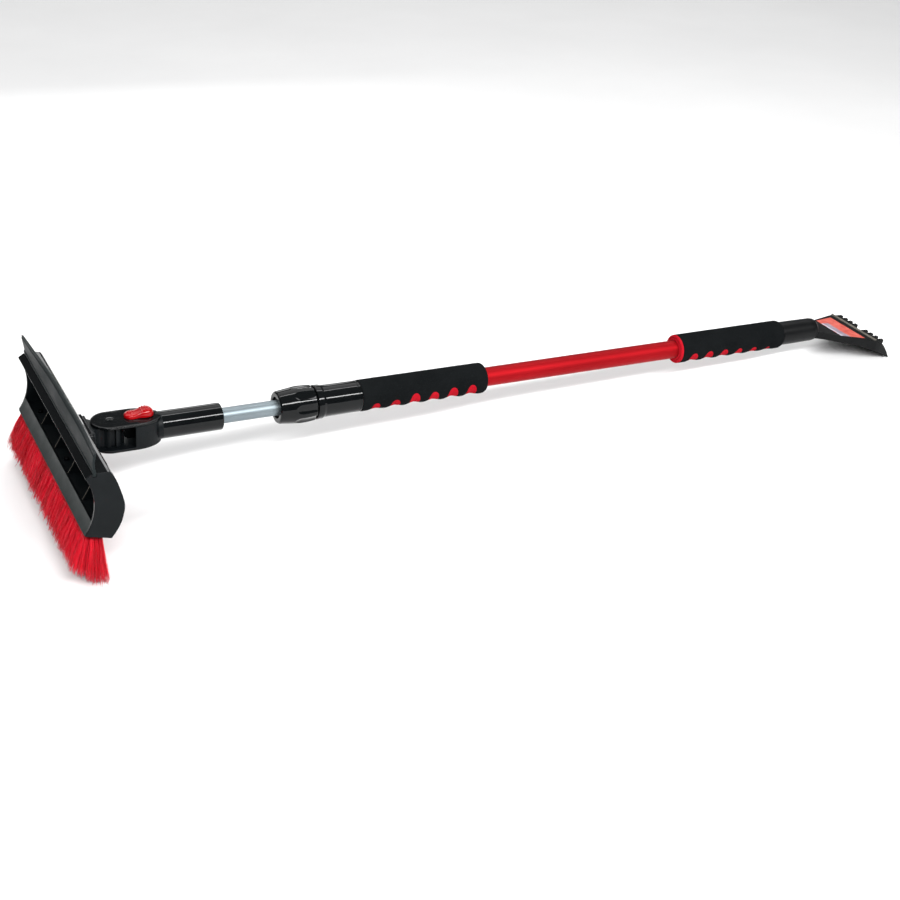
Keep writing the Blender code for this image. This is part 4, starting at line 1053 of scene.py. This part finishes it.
def filaments(name, rows, per_tuft, seed):
    """Tufts of single filaments, three-sided, each with its own bend, length and tone."""
    draw = np.random.default_rng(seed)
    pitch = 5.35
    bases, tips, tones, bends = [], [], [], []
    for r, (root_x, tip) in enumerate(rows):
        count = int(2 * 148.6 / pitch)
        for k in range(count + 1):
            y0 = -148.6 + 297.2 * (k + (0.5 if r % 2 else 0.0) * (k < count)) / count
            lean = draw.normal(0, 0.7, 2)
            grow = draw.normal(0, 0.7)
            tone = draw.normal(0, 0.12)
            flare = draw.uniform(1.5, 1.95)
            angle = draw.uniform(0, 2 * math.pi, per_tuft)
            spread = np.sqrt(draw.uniform(0, 1, per_tuft)) * 2.7
            dx, dy = spread * np.cos(angle), spread * np.sin(angle)
            base = np.stack([root_x + dx * 0.72, np.clip(y0 + dy, -149.8, 149.8), np.full(per_tuft, strip_foot(root_x) + 1.5)], -1)
            shift = draw.normal(0, 1.0, (per_tuft, 3)) * np.array([1.0, 2.3, 1.0])
            splay = 7.0 * math.copysign(abs(y0 / 148.6) ** 5, y0)
            ends = np.stack([tip[0] + lean[0] + dx * flare, y0 + splay + lean[1] + dy * (flare + 0.15), np.full(per_tuft, tip[1] + grow)], -1) + shift
            stray = draw.uniform(0, 1, per_tuft) < 0.035
            ends[stray] += draw.normal(0, 1.0, (int(stray.sum()), 3)) * np.array([3.2, 4.5, 1.5])
            bases.append(base)
            tips.append(ends)
            bends.append(np.stack([draw.normal(-0.6, 0.8, per_tuft), draw.normal(0, 1.0, per_tuft), np.zeros(per_tuft)], -1))
            tones.append(np.clip(0.5 + tone + draw.normal(0, 0.16, per_tuft), 0, 1))
    base, end, bend, tone = (np.concatenate(q) for q in (bases, tips, bends, tones))
    n, rings = len(base), 6
    floor = -0.0
    radius = draw.uniform(0.22, 0.31, n)
    t = np.linspace(0, 1, rings)
    line = base[:, None, :] + (end - base)[:, None, :] * t[None, :, None] + bend[:, None, :] * np.sin(math.pi * t)[None, :, None] * 1.2
    # nothing below the ground: keep the tips on it
    s, c = math.sin(PITCH), math.cos(PITCH)
    height = -line[..., 0] * s + line[..., 2] * c + SHIFT.z / MM
    line[..., 2] += np.clip(0.6 - height, 0, None) / c
    direction = end - base
    direction /= np.linalg.norm(direction, axis=1)[:, None]
    side = np.cross(direction, np.array([0.0, 1.0, 0.0]))
    side /= np.linalg.norm(side, axis=1)[:, None]
    other = np.cross(direction, side)
    phase = draw.uniform(0, 2 * math.pi, n)
    taper = np.array([1.0, 1.0, 1.0, 0.97, 0.88, 0.55])
    verts = np.empty((n, rings, 3, 3))
    for k in range(3):
        a = phase + 2 * math.pi * k / 3
        out = side * np.cos(a)[:, None] + other * np.sin(a)[:, None]
        verts[:, :, k, :] = line + out[:, None, :] * (radius[:, None] * taper[None, :])[..., None]
    start = (np.arange(n) * rings * 3)[:, None, None]
    i = np.arange(rings - 1)[None, :, None] * 3
    k = np.arange(3)[None, None, :]
    a, b = start + i + k, start + i + (k + 1) % 3
    quads = np.stack([a, b, b + 3, a + 3], -1).reshape(-1, 4)
    first = start[:, 0, 0]
    caps = np.concatenate([np.stack([first + 2, first + 1, first], -1), np.stack([first + 15, first + 16, first + 17], -1)])
    mesh = bpy.data.meshes.new(name)
    coords = (verts.reshape(-1, 3) * MM).astype(np.float32)
    mesh.vertices.add(len(coords))
    mesh.vertices.foreach_set("co", coords.ravel())
    loops = np.concatenate([quads.ravel(), caps.ravel()]).astype(np.int32)
    starts = np.concatenate([np.arange(len(quads)) * 4, len(quads) * 4 + np.arange(len(caps)) * 3]).astype(np.int32)
    mesh.loops.add(len(loops))
    mesh.loops.foreach_set("vertex_index", loops)
    mesh.polygons.add(len(starts))
    mesh.polygons.foreach_set("loop_start", starts)
    mesh.update(calc_edges=True)
    mesh.validate()
    tint = mesh.attributes.new("tint", "FLOAT", "POINT")
    tint.data.foreach_set("value", np.repeat(tone, rings * 3).astype(np.float32))
    along = mesh.attributes.new("along", "FLOAT", "POINT")
    along.data.foreach_set("value", np.tile(np.repeat(t, 3), n).astype(np.float32))
    mesh.materials.append(BRISTLE)
    made = bpy.data.objects.new(name, mesh)
    bpy.context.scene.collection.objects.link(made)
    made.matrix_world = POLE
    return made


for k, (node, rows) in enumerate(ROWS.items()):
    finish_piece(filaments(f"{node}_look", rows, 36, 71 + k), "head", [node], None, False)

# ------------------------------------------------------------------ floor, light and camera
floor_mesh = bpy.data.meshes.new("floor")
floor_mesh.from_pydata([(-9, -9, 0), (9, -9, 0), (9, 9, 0), (-9, 9, 0)], [], [(0, 1, 2, 3)])
floor = bpy.data.objects.new("floor", floor_mesh)
bpy.context.scene.collection.objects.link(floor)
paper = Mat("floor_paper", 0.75, 0.0, 0.25)
paper.colour(paper.ramp(paper.noise(3.0, 4.0), [(0.3, (0.79, 0.79, 0.79)), (0.7, (0.82, 0.82, 0.82))]))
paper.roughen(paper.span(paper.noise(60.0, 3.0), 0.3, 0.7, 0.7, 0.82))
paper.bump(paper.noise(500.0, 3.0), 0.15, 0.0001)
floor.data.materials.append(paper.mat)

studio = bpy.data.worlds.new("studio")
bpy.context.scene.world = studio
studio.use_nodes = True
tree = studio.node_tree
background = tree.nodes["Background"]
place = tree.nodes.new("ShaderNodeTexCoord")
split = tree.nodes.new("ShaderNodeSeparateXYZ")
ramp = tree.nodes.new("ShaderNodeValToRGB")
tree.links.new(place.outputs["Generated"], split.inputs["Vector"])
tree.links.new(split.outputs["Z"], ramp.inputs["Fac"])
tree.links.new(ramp.outputs["Color"], background.inputs["Color"])
ramp.color_ramp.elements[0].position, ramp.color_ramp.elements[0].color = 0.0, (0.08, 0.08, 0.082, 1)
ramp.color_ramp.elements[1].position, ramp.color_ramp.elements[1].color = 1.0, (0.22, 0.22, 0.22, 1)
middle = ramp.color_ramp.elements.new(0.55)
middle.color = (0.13, 0.132, 0.135, 1)
background.inputs["Strength"].default_value = 1.0


def strip_light(name, elevation, distance, width, length, power, middle_x=0.0):
    """A long softbox parallel to the pole. The elevation is measured from the side the camera is on."""
    data = bpy.data.lights.new(name, "AREA")
    data.shape, data.size, data.size_y, data.energy = "RECTANGLE", length, width, power
    made = bpy.data.objects.new(name, data)
    bpy.context.scene.collection.objects.link(made)
    e = math.radians(elevation)
    at = Vector((middle_x, -distance * math.cos(e), distance * math.sin(e) + 0.08))
    aim = (Vector((middle_x, 0, 0.08)) - at).normalized()
    x = Vector((1, 0, 0))
    y = (-aim).cross(x).normalized()
    made.matrix_world = Matrix.Translation(at) @ Matrix((x, y, -aim)).transposed().to_4x4()
    return made


strip_light("key_box", 42.5, 2.0, 0.2, 3.6, 96.0)
strip_light("top_box", 103.0, 2.0, 0.2, 3.6, 22.0)
overhead = bpy.data.lights.new("overhead", "AREA")
overhead.shape, overhead.size, overhead.size_y, overhead.energy = "RECTANGLE", 9.0, 3.4, 160.0
overhead_box = bpy.data.objects.new("overhead", overhead)
bpy.context.scene.collection.objects.link(overhead_box)
overhead_box.location = (0.3, 3.0, 3.6)
back = bpy.data.lights.new("back_box", "AREA")
back.shape, back.size, back.size_y, back.energy = "RECTANGLE", 1.3, 0.4, 5.0
back_box = bpy.data.objects.new("back_box", back)
bpy.context.scene.collection.objects.link(back_box)
back_box.location = (-0.2, 1.6, 0.6)
back_box.rotation_euler = (Vector((-0.5, 0.0, 0.14)) - back_box.location).to_track_quat("-Z", "Y").to_euler()

VIEW_AT = (-392.2, -1495.6, 826.1)
VIEW_RIGHT, VIEW_DOWN, VIEW_AHEAD = (0.8877, -0.4528, 0.0836), (-0.1512, -0.4581, -0.876), (0.435, 0.7649, -0.4751)
camera_data = bpy.data.cameras.new("camera")
camera_data.lens, camera_data.sensor_width = 58.31, 36.0
camera = bpy.data.objects.new("camera", camera_data)
bpy.context.scene.collection.objects.link(camera)
turn = POLE.to_3x3()
ahead = (turn @ Vector(VIEW_AHEAD)).normalized()
right = (turn @ Vector(VIEW_RIGHT)).normalized()
right = (right - ahead * right.dot(ahead)).normalized()
up = right.cross(ahead)
camera.matrix_world = Matrix.Translation(world(*VIEW_AT)) @ Matrix((right, up, -ahead)).transposed().to_4x4()
bpy.context.scene.camera = camera
bpy.context.scene.view_settings.view_transform = "Standard"
